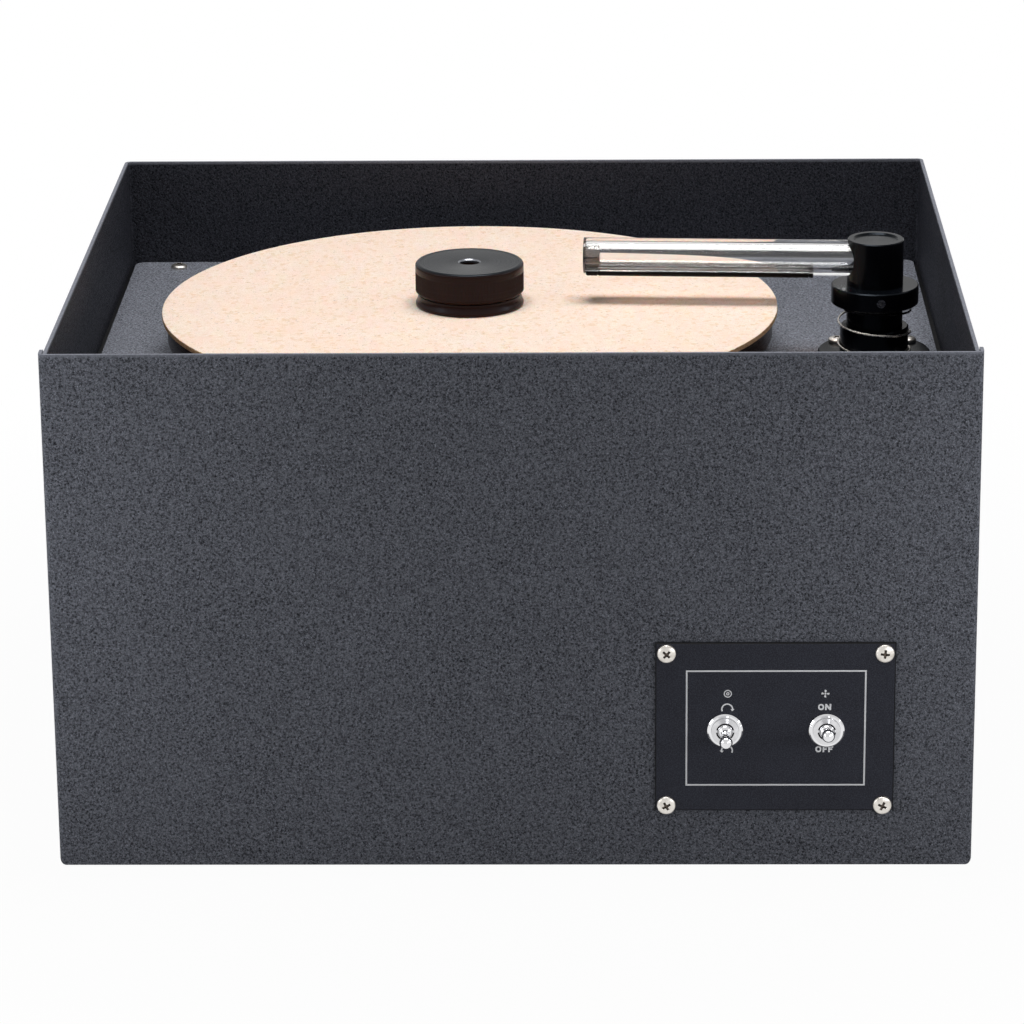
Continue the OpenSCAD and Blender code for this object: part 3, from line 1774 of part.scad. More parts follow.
module power_inlet() {
  blade = [2, 4, 14];
  gap = drawer_play;
  color([0.06, 0.06, 0.065])
    at_back(inlet_x, inlet_at[2])
      difference() {
        union() {
          linear_extrude(inlet_t)
            rounded_plan(inlet_w, inlet_h, 4);
          translate([-inlet_body_w / 2, -inlet_body_h / 2, -inlet_d - sheet_t])
            cube([inlet_body_w, inlet_body_h, inlet_d + sheet_t + over]);
        }
        translate([0, -socket_up, inlet_t - socket_depth])
          linear_extrude(socket_depth + over)
            socket_plan(socket_w, socket_h, 4.5);
        translate([-drawer_w / 2 - gap, drawer_down - drawer_h / 2 - gap, inlet_t - drawer_d - gap])
          cube([drawer_w + 2 * gap, drawer_h + 2 * gap, drawer_d + gap + over]);
        for (s = [-1, 1])
          translate([s * inlet_screw_x, 0, -over])
            cylinder(h = inlet_t + 2 * over, r = screw_hole_r);
      }
  color([0.8, 0.75, 0.5])
    at_back(inlet_x, inlet_at[2])
      for (p = [[-7, 0], [7, 0], [0, -4]])
        translate([p[0] - blade[0] / 2, p[1] - socket_up - blade[1] / 2, inlet_t - socket_depth - 0.5])
          cube([blade[0], blade[1], blade[2] + 0.5]);
}

module fuse_drawer() {
  color([0.09, 0.09, 0.095])
    at_back(inlet_x, inlet_at[2]) {
      translate([-drawer_w / 2, drawer_down - drawer_h / 2, inlet_t - drawer_d])
        cube([drawer_w, drawer_h, drawer_d + drawer_face_t]);
      translate([-drawer_w / 2, drawer_down - drawer_h / 2, inlet_t + drawer_play])
        cube([drawer_w, drawer_h + 0.8, drawer_face_t]);
    }
}

module inlet_screws() {
  color("silver")
    for (s = [-1, 1])
      at_back(inlet_x + s * inlet_screw_x, inlet_at[2])
        translate([0, 0, inlet_t])
          pan_screw(screw_len);
}

// Drain valve

module drain_valve() {
  body_top = drain_flange_t + drain_body_len;
  shank = sheet_t + tank_back_gap + tank_wall + 6;
  color([0.72, 0.6, 0.3])
    difference() {
      at_back(drain_x, drain_z)
        union() {
          translate([0, 0, -shank])
            cylinder(h = shank + over, r = shank_dia / 2);
          cylinder(h = drain_flange_t, r = drain_flange_dia / 2);
          cylinder(h = body_top, r = drain_body_dia / 2);
          cylinder(h = body_top + nozzle_len, r = nozzle_dia / 2);
        }
      at_back(drain_x, drain_z)
        translate([0, 0, -shank - over])
          cylinder(h = shank + body_top + nozzle_len + 2 * over, r = drain_bore / 2);
      rod([drain_x, drain_plug_y], drain_z - drain_body_dia / 2 + 2, drain_z + drain_body_dia,
        drain_plug_dia / 2 + drain_play);
    }
}

module drain_lever() {
  low = drain_z - drain_body_dia / 2 + 2.3;
  lever_w = 6;
  lever_t = 3;
  color([0.75, 0.1, 0.08])
    difference() {
      union() {
        rod([drain_x, drain_plug_y], low, drain_lever_z + lever_t, drain_plug_dia / 2);
        translate([drain_x, drain_plug_y, drain_lever_z])
          linear_extrude(lever_t)
            rotate([0, 0, 90])
              slot_2d(lever_w, drain_lever_len);
      }
      translate([drain_x, drain_plug_y, drain_z])
        rotate([0, 90, 0])
          cylinder(h = drain_plug_dia + over, r = drain_bore / 2, center = true);
    }
}

// Wiring

module wiring_loom() {
  up = [0.31, 0.47, 0.83];
  color([0.2, 0.2, 0.22])
    for (route = [mains_route, motor_route, fan_route])
      path_tube(softened(route), loom_r, 8, unit(up));
}

front_panel();
case_wrap();
bottom_pan();
bottom_screws();
feet();
foot_screws();
deck_plate();
deck_brackets();
deck_screws();
control_plate();
plate_screws();
turntable_switch();
vacuum_switch();
switch_nuts();
turntable_lever();
vacuum_lever();
gearbox();
gearbox_screws();
motor_body();
motor_capacitor();
output_shaft();
platter_hub();
hub_set_screw();
platter();
platter_screws();
cork_mat();
spindle();
clamp_foot();
clamp_pad();
clamp_knob();
clamp_ring();
post_flange();
flange_screws();
post_spring();
spring_washer();
swing_post();
post_collar();
collar_set_screw();
retaining_ring();
pickup_tube();
tube_plug();
felt_lips();
post_seal();
waste_tank();
tank_lid();
tank_gasket();
lid_screws();
vacuum_motor();
fan_housing();
impeller();
vacuum_bracket();
vacuum_gasket();
chassis_screws();
air_hose();
power_inlet();
fuse_drawer();
inlet_screws();
drain_valve();
drain_lever();
wiring_loom();
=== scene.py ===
import math

import bmesh
import bpy
import numpy as np
from mathutils import Matrix, Vector, noise


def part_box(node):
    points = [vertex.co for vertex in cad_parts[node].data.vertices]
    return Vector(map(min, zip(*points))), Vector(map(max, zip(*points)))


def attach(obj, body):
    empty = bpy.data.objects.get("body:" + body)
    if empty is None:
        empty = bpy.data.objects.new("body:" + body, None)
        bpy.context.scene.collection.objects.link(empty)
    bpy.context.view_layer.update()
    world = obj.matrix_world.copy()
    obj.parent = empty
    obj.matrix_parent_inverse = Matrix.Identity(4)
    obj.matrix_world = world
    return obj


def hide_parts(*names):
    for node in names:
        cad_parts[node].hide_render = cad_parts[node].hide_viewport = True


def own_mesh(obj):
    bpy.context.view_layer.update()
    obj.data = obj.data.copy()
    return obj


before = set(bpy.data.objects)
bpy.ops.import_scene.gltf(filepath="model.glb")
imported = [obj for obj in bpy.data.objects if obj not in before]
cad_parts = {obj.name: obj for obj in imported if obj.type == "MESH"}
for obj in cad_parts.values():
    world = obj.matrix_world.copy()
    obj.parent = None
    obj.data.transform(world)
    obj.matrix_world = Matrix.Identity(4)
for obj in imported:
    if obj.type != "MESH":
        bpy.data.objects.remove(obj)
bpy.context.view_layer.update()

MM = 0.001
TURN = 2 * math.pi
QUARTER = math.pi / 2

# Places and sizes, in millimetres in the shared frame


def box_mm(name):
    low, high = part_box(name)
    return np.array(low) / MM, np.array(high) / MM


def middle_of(name):
    return sum(box_mm(name)) / 2


PLATTER_AT = middle_of("platter")[:2]
POST_AT = middle_of("swing_post")[:2]
MAT_LOW, MAT_HIGH = box_mm("cork_mat")
KNOB_LOW, KNOB_HIGH = box_mm("clamp_knob")
FOOT_LOW, FOOT_HIGH = box_mm("clamp_foot")
PLATE_Y = box_mm("control_plate")[0][1]
SHEET_T = 1.6
WELL_FRONT = box_mm("front_panel")[0][1] + SHEET_T
RIM_TOP = box_mm("front_panel")[1][2]
WELL_X, WELL_BACK = box_mm("case_wrap")[1][:2] - SHEET_T
SPINDLE_TOP = box_mm("spindle")[1][2]
WASHER_LOW = box_mm("spring_washer")[0][2]
FLANGE_TOP = box_mm("deck_plate")[1][2] + 4
TURNTABLE_X, _, SWITCH_Z = middle_of("turntable_switch")
VACUUM_X = middle_of("vacuum_switch")[0]
TUBE_Z = 232.9
TUBE_TURN = math.radians(3)
TUBE_R = 8.15
TUBE_BORE_R = 4.75
TUBE_START = 8.6
TUBE_END = 130.8
SLOT_WIDTH = 1.6
SLOT_START = 29.9
SLOT_END = 125.4
FELT_START = 27.9
FELT_R = TUBE_R + 0.02
FELT_OUT_R = FELT_R + 1.05
FELT_WIDTH = 13.0
HEAD_R = 4.05
HEAD_H = 2.4
SCREW_R = 2.0
KNOB_DISH = 0.2
FOOT_R = 12.0
FAN_NECK = 14.0
LID_T = 4.0
HOSE_GAP = 2.0
CABLE_R = 2.75
RELIEF_R = 2.98
PRINT_T = 0.02
VACUUM_TILT = math.radians(12.5)
FLOOR_NEAR = 0.97
WORLD_DIFFUSE = 0.10


# Mesh helpers: a form is a pair of points in millimetres and faces

def in_scene(name, data):
    made = bpy.data.objects.new(name, data)
    bpy.context.scene.collection.objects.link(made)
    return made


def add_piece(name, form, material, body, node=None, sharp=38.0, marks=None, second=None):
    """A piece that rides on a CAD body; node is what it stands for, marked faces take the second material."""
    mesh = bpy.data.meshes.new(name)
    mesh.from_pydata((np.asarray(form[0], float) * MM).tolist(), [], form[1])
    mesh.materials.append(material)
    if marks is not None:
        mesh.materials.append(second)
        mesh.polygons.foreach_set("material_index", [int(m) for m in marks])
    work = bmesh.new()
    work.from_mesh(mesh)
    bmesh.ops.remove_doubles(work, verts=work.verts, dist=2e-7)
    bmesh.ops.dissolve_degenerate(work, edges=work.edges, dist=1e-8)
    bmesh.ops.recalc_face_normals(work, faces=work.faces)
    work.to_mesh(mesh)
    work.free()
    mesh.shade_smooth()
    mesh.set_sharp_from_angle(angle=math.radians(sharp))
    piece = in_scene(name, mesh)
    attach(piece, body)
    if node:
        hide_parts(node)
    return piece


def joined(forms):
    """One form from several."""
    verts, faces = [], []
    for more, around in forms:
        first = len(verts)
        verts.extend(np.asarray(more, float).tolist())
        faces.extend([tuple(first + i for i in f) for f in around])
    return verts, faces


def polar(radius, angle, at=(0, 0)):
    return at[0] + radius * math.cos(angle), at[1] + radius * math.sin(angle)


def grid_faces(rows, columns, wrap_rows=False, wrap_columns=False):
    faces = []
    for i in range(rows if wrap_rows else rows - 1):
        for k in range(columns if wrap_columns else columns - 1):
            i2, k2 = (i + 1) % rows, (k + 1) % columns
            faces.append((i * columns + k, i * columns + k2, i2 * columns + k2, i2 * columns + k))
    return faces


def soften(profile, radius, steps=4, closed=True):
    """Rounds the corners of an outline of (r, z) points; a third number is a corner's own radius."""
    points = [np.array(p[:2], float) for p in profile]
    sizes = [p[2] if len(p) > 2 else radius for p in profile]
    out = []
    for i, p in enumerate(points):
        a, b = points[i - 1] - p, points[(i + 1) % len(points)] - p
        la, lb = np.linalg.norm(a), np.linalg.norm(b)
        cut = min(sizes[i], 0.45 * la, 0.45 * lb)
        if cut < 1e-4 or min(la, lb) < 1e-6 or not closed and i in (0, len(points) - 1):
            out.append(p)
            continue
        start, end = p + a / la * cut, p + b / lb * cut
        for t in np.arange(steps + 1) / steps:
            out.append((1 - t) ** 2 * start + 2 * t * (1 - t) * p + t * t * end)
    return out


def lathe(profile, at, segments=128, closed=True, shape=None):
    """A turned form round a vertical axis; shape(angles, r, z) may change r."""
    angles = np.arange(segments) * TURN / segments
    rows = []
    for r, z in profile:
        reach = shape(angles, r, z) if shape else r
        rows.append(np.stack([at[0] + reach * np.cos(angles), at[1] + reach * np.sin(angles),
                              np.full(segments, z)], 1))
    return np.concatenate(rows), grid_faces(len(profile), segments, closed, True)


def along(form, origin, direction, up=(0, 0, 1)):
    """Turns a form drawn on the z axis so that z runs along direction from origin, with x towards up."""
    d = Vector(direction).normalized()
    x = (Vector(up) - Vector(up).dot(d) * d).normalized()
    return np.asarray(form[0], float) @ np.array([x, d.cross(x), d]) + np.array(origin, float), form[1]


def sweep(path, radius, sides, close_ends=True):
    """A tube along a path; radius is a number or one value a point."""
    path = np.asarray(path, float)
    tangents = np.gradient(path, axis=0)
    tangents /= np.linalg.norm(tangents, axis=1)[:, None]
    normal = np.cross(tangents[0], (0.31, 0.47, 0.83))
    a = np.arange(sides) * TURN / sides
    rings = []
    for p, t, r in zip(path, tangents, np.broadcast_to(radius, len(path))):
        normal = normal - normal.dot(t) * t
        normal /= np.linalg.norm(normal)
        rings.append(p + r * (np.cos(a)[:, None] * normal + np.sin(a)[:, None] * np.cross(t, normal)))
    faces = grid_faces(len(path), sides, wrap_columns=True)
    if close_ends:
        faces += [tuple(range(sides)), tuple((len(path) - 1) * sides + k for k in range(sides))]
    return np.concatenate(rings), faces


def smooth_path(points):
    """A rounded path through the middles of a given one, as the part's source draws it."""
    p = [np.array(q, float) for q in points]
    out = [p[0]]
    for i in range(1, len(p) - 1):
        a, b = (p[i - 1] + p[i]) / 2, (p[i] + p[i + 1]) / 2
        count = max(4, int(np.linalg.norm(b - a) / 2.5))
        for t in np.arange(count) / count:
            out.append((1 - t) ** 2 * a + 2 * t * (1 - t) * p[i] + t * t * b)
    return np.array(out + [(p[-2] + p[-1]) / 2, p[-1]])


# Material helpers

def linear(colour):
    """A colour on the 0 to 255 scale of a picture, as the shader takes it."""
    values = [c / 255 for c in colour]
    return (*[c / 12.92 if c < 0.04045 else ((c + 0.055) / 1.055) ** 2.4 for c in values], 1.0)


class Nodes:
    """Builds the nodes of a material or of the world."""

    def __init__(self, owner):
        owner.use_nodes = True
        self.tree = owner.node_tree
        self.tree.nodes.clear()

    def node(self, kind, ins=(), props=()):
        made = self.tree.nodes.new("ShaderNode" + kind)
        for key, value in dict(props).items():
            setattr(made, key, value)
        for key, value in dict(ins).items():
            self.put(made.inputs[key], value)
        return made

    def put(self, socket, value):
        if isinstance(value, bpy.types.NodeSocket):
            self.tree.links.new(value, socket)
        else:
            socket.default_value = value

    def math(self, operation, a, b=0.0):
        return self.node("Math", {0: a, 1: b}, {"operation": operation}).outputs[0]

    def ramp(self, value, low, high, to_low=0.0, to_high=1.0):
        ins = {"Value": value, "From Min": low, "From Max": high, "To Min": to_low, "To Max": to_high}
        return self.node("MapRange", ins).outputs["Result"]

    def seen(self):
        """1 for the camera, in reflections and through glass, 0 for light that falls on things."""
        rays = self.node("LightPath").outputs
        others = self.math("MAXIMUM", rays["Is Glossy Ray"], rays["Is Transmission Ray"])
        return self.math("MAXIMUM", rays["Is Camera Ray"], others)


class Finish(Nodes):
    """One material, built step by step."""

    def __init__(self, name, spec=0.5, **settings):
        self.material = bpy.data.materials.new(name)
        super().__init__(self.material)
        self.out = self.node("OutputMaterial")
        self.shader = self.node("BsdfPrincipled")
        self.put(self.out.inputs["Surface"], self.shader.outputs[0])
        self.place = self.node("TexCoord").outputs["Object"]
        self.put(self.shader.inputs["Specular IOR Level"], spec)
        for key, value in settings.items():
            self.put(self.shader.inputs[key.replace("_", " ")], value)

    def done(self, colour, roughness=None, normal=None, **more):
        """Sets what varies over the surface and gives the material."""
        for key, value in {"Base Color": colour, "Roughness": roughness, "Normal": normal, **more}.items():
            if value is not None:
                self.put(self.shader.inputs[key], value)
        return self.material

    def blend_in(self, share, other):
        mixed = self.node("MixShader", {0: share, 1: self.shader.outputs[0], 2: other.outputs[0]})
        self.put(self.out.inputs["Surface"], mixed.outputs[0])

    def noise(self, size_mm, detail=2.0, rough=0.5, vector=None):
        ins = {"Vector": vector or self.place, "Scale": 1 / (size_mm * MM), "Detail": detail,
               "Roughness": rough}
        return self.node("TexNoise", ins).outputs["Fac"]

    def cells(self, size_mm, feature="F1", output="Distance", vector=None):
        ins = {"Vector": vector or self.place, "Scale": 1 / (size_mm * MM)}
        return self.node("TexVoronoi", ins, {"feature": feature}).outputs[output]

    def mix(self, factor, a, b, blend="MIX"):
        """Mixes two colours; one of three numbers is on the 0 to 255 scale."""
        a, b = (linear(c) if isinstance(c, tuple) and len(c) == 3 else c for c in (a, b))
        props = {"data_type": "RGBA", "blend_type": blend}
        return self.node("Mix", {0: factor, 6: a, 7: b}, props).outputs[2]

    def tones(self, value, a, b, low=0.3, high=0.7):
        """Runs from one colour to another as a value rises."""
        return self.mix(self.ramp(value, low, high), a, b)

    def bump(self, height, depth_mm, **under):
        """The tilt that a height gives the surface; Normal= sets what lies under it."""
        return self.node("Bump", {"Height": height, "Distance": depth_mm * MM, **under}).outputs["Normal"]

    def vector(self, operation, *values):
        return self.node("VectorMath", enumerate(values), {"operation": operation}).outputs

    def axis(self, index, of=None):
        """One coordinate of the place, or of another vector."""
        return self.node("SeparateXYZ", {0: of or self.place}).outputs[index]

    def turned(self, at):
        """Distance from a vertical axis, and height, as a vector for marks left by a lathe."""
        moved = self.vector("SUBTRACT", self.place, (at[0] * MM, at[1] * MM, 0))[0]
        radius = self.vector("LENGTH", self.vector("MULTIPLY", moved, (1, 1, 0))[0])["Value"]
        return self.node("CombineXYZ", {0: radius, 2: self.axis(2)}).outputs[0]

    def inside_case(self):
        """Mask of the painted shade inside the case: 1 on the walls inside the case, 0 on its outside and on
        its rim.
        """
        side = self.math("SUBTRACT", self.math("ABSOLUTE", self.axis(0)), WELL_X * MM)
        back = self.math("SUBTRACT", self.axis(1), WELL_BACK * MM)
        front = self.math("SUBTRACT", WELL_FRONT * MM, self.axis(1))
        out = self.math("MAXIMUM", side, self.math("MAXIMUM", back, front))
        return self.ramp(out, 0.1 * MM, 0.3 * MM, 1.0, 0.0)


# Materials

def textured_coat(name, dark, light, well_shade=1.0, spec=0.12):
    """Dark powder coat with a pebbled grain, pits and pale specks painted as glints; the fourth argument is a
    painted shade on the walls inside the case, and below 1 it also adds a painted highlight at the rim.
    """
    f = Finish(name, spec)
    grain, small = f.noise(1.05, 3.0, 0.72), f.noise(0.46, 2.0, 0.6)
    pits = f.ramp(f.cells(1.9), 0.10, 0.34)
    tone = f.math("ADD", f.ramp(grain, 0.37, 0.63, 0.0, 0.55), f.ramp(small, 0.38, 0.62, 0.0, 0.45))
    colour = f.mix(f.math("MULTIPLY", tone, f.ramp(pits, 0.0, 1.0, 0.2, 1.0)), dark, light)
    # Pale specks mixed into the colour: painted glints of the coat's grain.
    colour = f.mix(f.ramp(f.noise(0.55, 1.0), 0.66, 0.74, 0.0, 0.7), colour, (176, 180, 192))
    colour = f.mix(f.ramp(f.noise(38), 0.35, 0.65, 0.0, 0.06), colour, light)
    if well_shade < 1.0:
        # Painted shade: the walls inside the case are multiplied down to the fourth argument's tone.
        colour = f.mix(f.inside_case(), colour, (well_shade, well_shade, well_shade * 1.08, 1), "MULTIPLY")
        # Painted highlight: a lighter band at the height of the case's top rim.
        rim = f.ramp(f.axis(2), (RIM_TOP - 1.5) * MM, (RIM_TOP - 0.6) * MM, 0.0, 0.6)
        colour = f.mix(rim, colour, light)
    pebbles = f.bump(f.math("MULTIPLY", grain, pits), 0.34)
    return f.done(colour, f.ramp(grain, 0.3, 0.7, 0.66, 0.46), f.bump(small, 0.10, Normal=pebbles))


def satin_plate():
    """Smooth satin black of the control plate, a little dusty, with painted shade on its bevels and sides."""
    f = Finish("satin_plate_paint", 0.14)
    grain = f.noise(0.5, 2.0, 0.6)
    colour = f.tones(f.noise(14, 3.0), (37, 38, 46), (44, 46, 55))
    colour = f.mix(f.ramp(grain, 0.42, 0.66, 0.0, 0.6), colour, (74, 76, 86))
    # Painted shade: the bevels and sides behind the plate's front face turn near black.
    edge = f.math("GREATER_THAN", f.axis(1), (PLATE_Y + 0.04) * MM)
    return f.done(f.mix(edge, colour, (12, 12, 15)), f.ramp(grain, 0.3, 0.7, 0.42, 0.56),
                  f.bump(grain, 0.04))


def anodised(name, at, side, spec, rough=(0.15, 0.22)):
    """Black anodised alloy with fine rings of turning; the third argument is the colour of upright faces, on
    the clamp a painted reflection of the cork.
    """
    f = Finish(name, spec, Specular_Tint=(0.70, 0.84, 1.0, 1.0), Anisotropic=0.6)
    fine = f.noise(0.16, 2.0, 0.6, f.turned(at))
    upward = f.axis(2, f.node("NewGeometry").outputs["Normal"])
    top = f.tones(f.noise(9, 3.0, 0.55), (5, 7, 10), (10, 12, 16), 0.35, 0.65)
    tangent = f.node("Tangent", props={"direction_type": "RADIAL", "axis": "Z"}).outputs[0]
    # Upright faces take the third argument's colour: on the clamp and platter a painted reflection of the
    # cork.
    return f.done(f.tones(upward, side, top, 0.3, 0.8), f.ramp(fine, 0.3, 0.7, *rough),
                  f.bump(fine, 0.0025), Tangent=tangent)


def cork():
    """Pressed cork: pale granules of close tints, small tan specks and a few dark ones."""
    f = Finish("pressed_cork", 0.1, Roughness=0.88, Subsurface_Weight=0.4,
               Subsurface_Radius=(1.0, 0.34, 0.18), Subsurface_Scale=0.004)
    warp = f.node("TexNoise", {"Vector": f.place, "Scale": 900.0, "Detail": 2.0}).outputs["Color"]
    bent = f.vector("MULTIPLY_ADD", warp, (0.0011, 0.0011, 0.0011), f.place)[0]
    tint = f.node("SeparateColor", {0: f.cells(1.9, output="Color", vector=bent)}).outputs
    colour = f.tones(tint[0], (250, 227, 214), (246, 219, 203), 0.0, 1.0)
    colour = f.mix(f.ramp(tint[1], 0.82, 0.96, 0.0, 0.6), colour, (232, 196, 160))
    seams = f.ramp(f.cells(1.9, "DISTANCE_TO_EDGE", vector=bent), 0.0, 0.05, 0.14, 0.0)
    colour = f.mix(seams, colour, (220, 188, 158))
    colour = f.mix(f.ramp(f.noise(0.62, 2.0, 0.65), 0.56, 0.66, 0.0, 0.7), colour, (200, 170, 120))
    sparse = f.ramp(f.noise(4.2, 1.0), 0.44, 0.54)
    holes = f.math("MULTIPLY", f.ramp(f.cells(2.7), 0.08, 0.2, 1.0, 0.0), sparse)
    colour = f.mix(f.math("MULTIPLY", holes, 0.6), colour, (150, 124, 104))
    colour = f.mix(f.ramp(f.noise(20, 3.0, 0.55), 0.4, 0.7, 0.0, 0.32), colour, (246, 208, 188))
    height = f.math("SUBTRACT", f.noise(0.7, 3.0, 0.6), f.math("ADD", holes, seams))
    return f.done(colour, None, f.bump(height, 0.07))


def cork_edge():
    # Cut edge of the cork: its grain and pits are real, its darker brown is painted shade.
    f = Finish("cork_edge", 0.2, Roughness=0.9)
    grain = f.noise(1.1, 4.0, 0.65)
    colour = f.tones(grain, (176, 128, 88), (222, 184, 146))
    colour = f.mix(f.ramp(f.cells(2.2), 0.1, 0.3, 0.5, 0.0), colour, (120, 80, 52))
    return f.done(colour, None, f.bump(grain, 0.2))


def clear_acrylic(name, tint=(1.0, 1.0, 1.0, 1.0), rough=0.01, shade=(0.94, 0.82, 0.75, 1)):
    """Clear plastic; shade is the tint of the light that passes through it."""
    f = Finish(name, IOR=1.49, Transmission_Weight=1.0)
    shadow = f.node("LightPath").outputs["Is Shadow Ray"]
    f.blend_in(shadow, f.node("BsdfTransparent", {"Color": shade}))
    return f.done(tint, f.ramp(f.noise(6), 0.3, 0.8, rough, rough * 2.4))


def felt():
    f = Finish("black_felt", 0.05, Roughness=0.95, Sheen_Weight=0.06, Sheen_Roughness=0.5)
    fibres = f.noise(0.35, 4.0, 0.7, f.vector("MULTIPLY", f.place, (1.0, 3.0, 3.0))[0])
    return f.done(f.tones(fibres, (4, 4, 5), (24, 22, 22)), None, f.bump(fibres, 0.12))


def metal(name, dark, light, rough, mark_mm, depth_mm, patch_mm):
    """A bare or plated metal with faint marks and patches."""
    f = Finish(name, Metallic=1.0)
    marks, patch = f.noise(mark_mm, 3.0, 0.6), f.noise(patch_mm, 3.0, 0.55)
    both = f.math("MULTIPLY", f.math("ADD", marks, patch), 0.5)
    return f.done(f.tones(patch, dark, light), f.ramp(both, 0.35, 0.65, *rough), f.bump(marks, depth_mm))


def spring_wire():
    """Bright wire, with painted shade of the collar on the end coil under it."""
    f = Finish("spring_wire", Metallic=1.0)
    patch = f.noise(1.5, 3.0, 0.55)
    bright = f.tones(patch, (188, 182, 176), (222, 216, 208))
    # Painted shade: the coil turns near black above this height, under the collar.
    colour = f.tones(f.axis(2), bright, (20, 20, 22), (WASHER_LOW - 3.6) * MM, (WASHER_LOW - 2.4) * MM)
    return f.done(colour, f.ramp(patch, 0.35, 0.65, 0.20, 0.34), f.bump(f.noise(0.3, 3.0, 0.6), 0.004))


def turned_metal(name, at, dark, light):
    f = Finish(name, Metallic=1.0)
    fine = f.noise(0.2, 2.0, 0.6, f.turned(at))
    return f.done(f.tones(f.noise(3, 3.0), dark, light), f.ramp(fine, 0.3, 0.7, 0.2, 0.34),
                  f.bump(fine, 0.006))


def cast_metal(name, dark, light):
    """Sand or die cast alloy: matt, grainy, a little stained."""
    f = Finish(name, Metallic=0.85)
    grain = f.noise(0.7, 4.0, 0.7)
    return f.done(f.tones(f.noise(18, 4.0, 0.6), dark, light), f.ramp(grain, 0.3, 0.7, 0.38, 0.62),
                  f.bump(grain, 0.06))


def plastic(name, dark, light, rough=(0.32, 0.48), grain_mm=0.35, depth_mm=0.02, spec=0.45):
    f = Finish(name, spec)
    grain = f.noise(grain_mm, 3.0, 0.6)
    return f.done(f.tones(f.noise(22, 3.0), dark, light), f.ramp(grain, 0.3, 0.7, *rough),
                  f.bump(grain, depth_mm))


def milky_plastic():
    """Natural polyethylene of the tank: translucent, with faint flow lines."""
    f = Finish("tank_polyethylene", Subsurface_Weight=0.35, Subsurface_Radius=(0.004, 0.004, 0.0036),
               Subsurface_Scale=1.0)
    flow = f.noise(9, 3.0, 0.6, f.vector("MULTIPLY", f.place, (1.0, 1.0, 0.25))[0])
    return f.done(f.tones(flow, (214, 214, 204), (230, 231, 224)), f.ramp(flow, 0.3, 0.7, 0.36, 0.52),
                  f.bump(f.noise(0.8, 3.0), 0.03))


def switch_body():
    """Plated bushing in front, moulded case behind, parted at the panel's back face."""
    f = Finish("switch_case")
    behind = f.math("GREATER_THAN", f.axis(1), WELL_FRONT * MM)
    cloud = f.noise(4, 3.0)
    front = f.tones(cloud, (200, 200, 202), (224, 224, 226))
    back = f.tones(cloud, (30, 26, 24), (46, 38, 34))
    return f.done(f.mix(behind, front, back), f.ramp(behind, 0, 1, 0.14, 0.46),
                  f.bump(f.noise(0.5, 3.0), 0.01), Metallic=f.math("SUBTRACT", 1.0, behind))


def ink():
    f = Finish("white_ink", 0.25)
    spots = f.noise(0.5, 3.0, 0.6)
    return f.done(f.tones(spots, (244, 246, 250), (254, 254, 255), 0.35, 0.6),
                  f.ramp(spots, 0.3, 0.7, 0.55, 0.7))


# The case's copy is darker than the deck's, as painted shade of the less lit front panel; its 0.25 is the
# painted shade of the walls inside the case.
COAT = textured_coat("textured_coat", (18, 19, 25), (150, 154, 165))
CASE_COAT = textured_coat("textured_coat_case", (14, 15, 19), (136, 139, 149), 0.25, 0.06)
PLATE = satin_plate()
# The brown on the upright faces of the clamp and platter is a painted reflection of the cork.
TURNED_BLACK = anodised("black_anodised_clamp", PLATTER_AT, (38, 20, 13), 0.15, (0.24, 0.33))
POST_BLACK = anodised("black_anodised_post", POST_AT, (9, 9, 12), 0.09)
CORK = cork()
CORK_EDGE = cork_edge()
ACRYLIC = clear_acrylic("clear_acrylic")
ACRYLIC_PLUG = clear_acrylic("smoky_plug", (0.10, 0.085, 0.08, 1), 0.04, (0.4, 0.38, 0.37, 1))
FELT = felt()
CHROME = metal("chrome_plate", (222, 222, 224), (236, 236, 238), (0.035, 0.09), 0.9, 0.0015, 6.0)
NICKEL = metal("nickel_screw", (204, 198, 190), (232, 228, 222), (0.30, 0.42), 0.3, 0.004, 2.5)
# Darker metal on the cross recesses of the screw heads: painted shade in the recesses.
RECESS_SHADE = metal("screw_recess_painted_shade", (66, 60, 56), (104, 94, 86), (0.3, 0.5), 0.3, 0.01, 1.5)
SET_SCREW = metal("set_screw_steel", (84, 84, 88), (124, 124, 128), (0.2, 0.36), 0.3, 0.01, 1.5)
ZINC = metal("zinc_screw", (176, 178, 182), (208, 208, 206), (0.24, 0.40), 0.4, 0.006, 4.0)
SPRING_STEEL = spring_wire()
SHAFT_CLAMP = turned_metal("ground_shaft", PLATTER_AT, (186, 186, 188), (214, 214, 214))
SHAFT_POST = turned_metal("ground_ring", POST_AT, (160, 160, 164), (196, 196, 198))
BRACKET = metal("zinc_bracket", (142, 146, 152), (186, 188, 190), (0.30, 0.50), 2.0, 0.01, 9.0)
MOTOR = cast_metal("motor_shell", (84, 86, 90), (112, 114, 118))
ALLOY = cast_metal("cast_alloy_grey", (156, 157, 160), (190, 190, 192))
BRASS = metal("brass_bar", (176, 142, 82), (206, 174, 110), (0.2, 0.36), 0.6, 0.006, 7.0)
BLACK_PLASTIC = plastic("moulded_black", (19, 19, 21), (29, 29, 31))
RUBBER = plastic("black_rubber", (22, 22, 22), (36, 35, 34), (0.62, 0.84), 0.5, 0.05, 0.25)
RED_GRIP = plastic("red_lever_coat", (150, 26, 20), (178, 36, 28), (0.34, 0.5))
WIRE = plastic("cable_sheath", (30, 30, 34), (44, 44, 48), (0.36, 0.52))
BLACK_STEEL = plastic("black_steel", (12, 12, 14), (20, 20, 22), (0.45, 0.6), 0.6, 0.02, 0.2)
BUSHING = turned_metal("knob_bushing", PLATTER_AT, (112, 114, 120), (144, 146, 152))
TIE = plastic("cable_tie", (206, 204, 196), (222, 220, 214), (0.4, 0.55))
TANK = milky_plastic()
SWITCH = switch_body()
INK = ink()

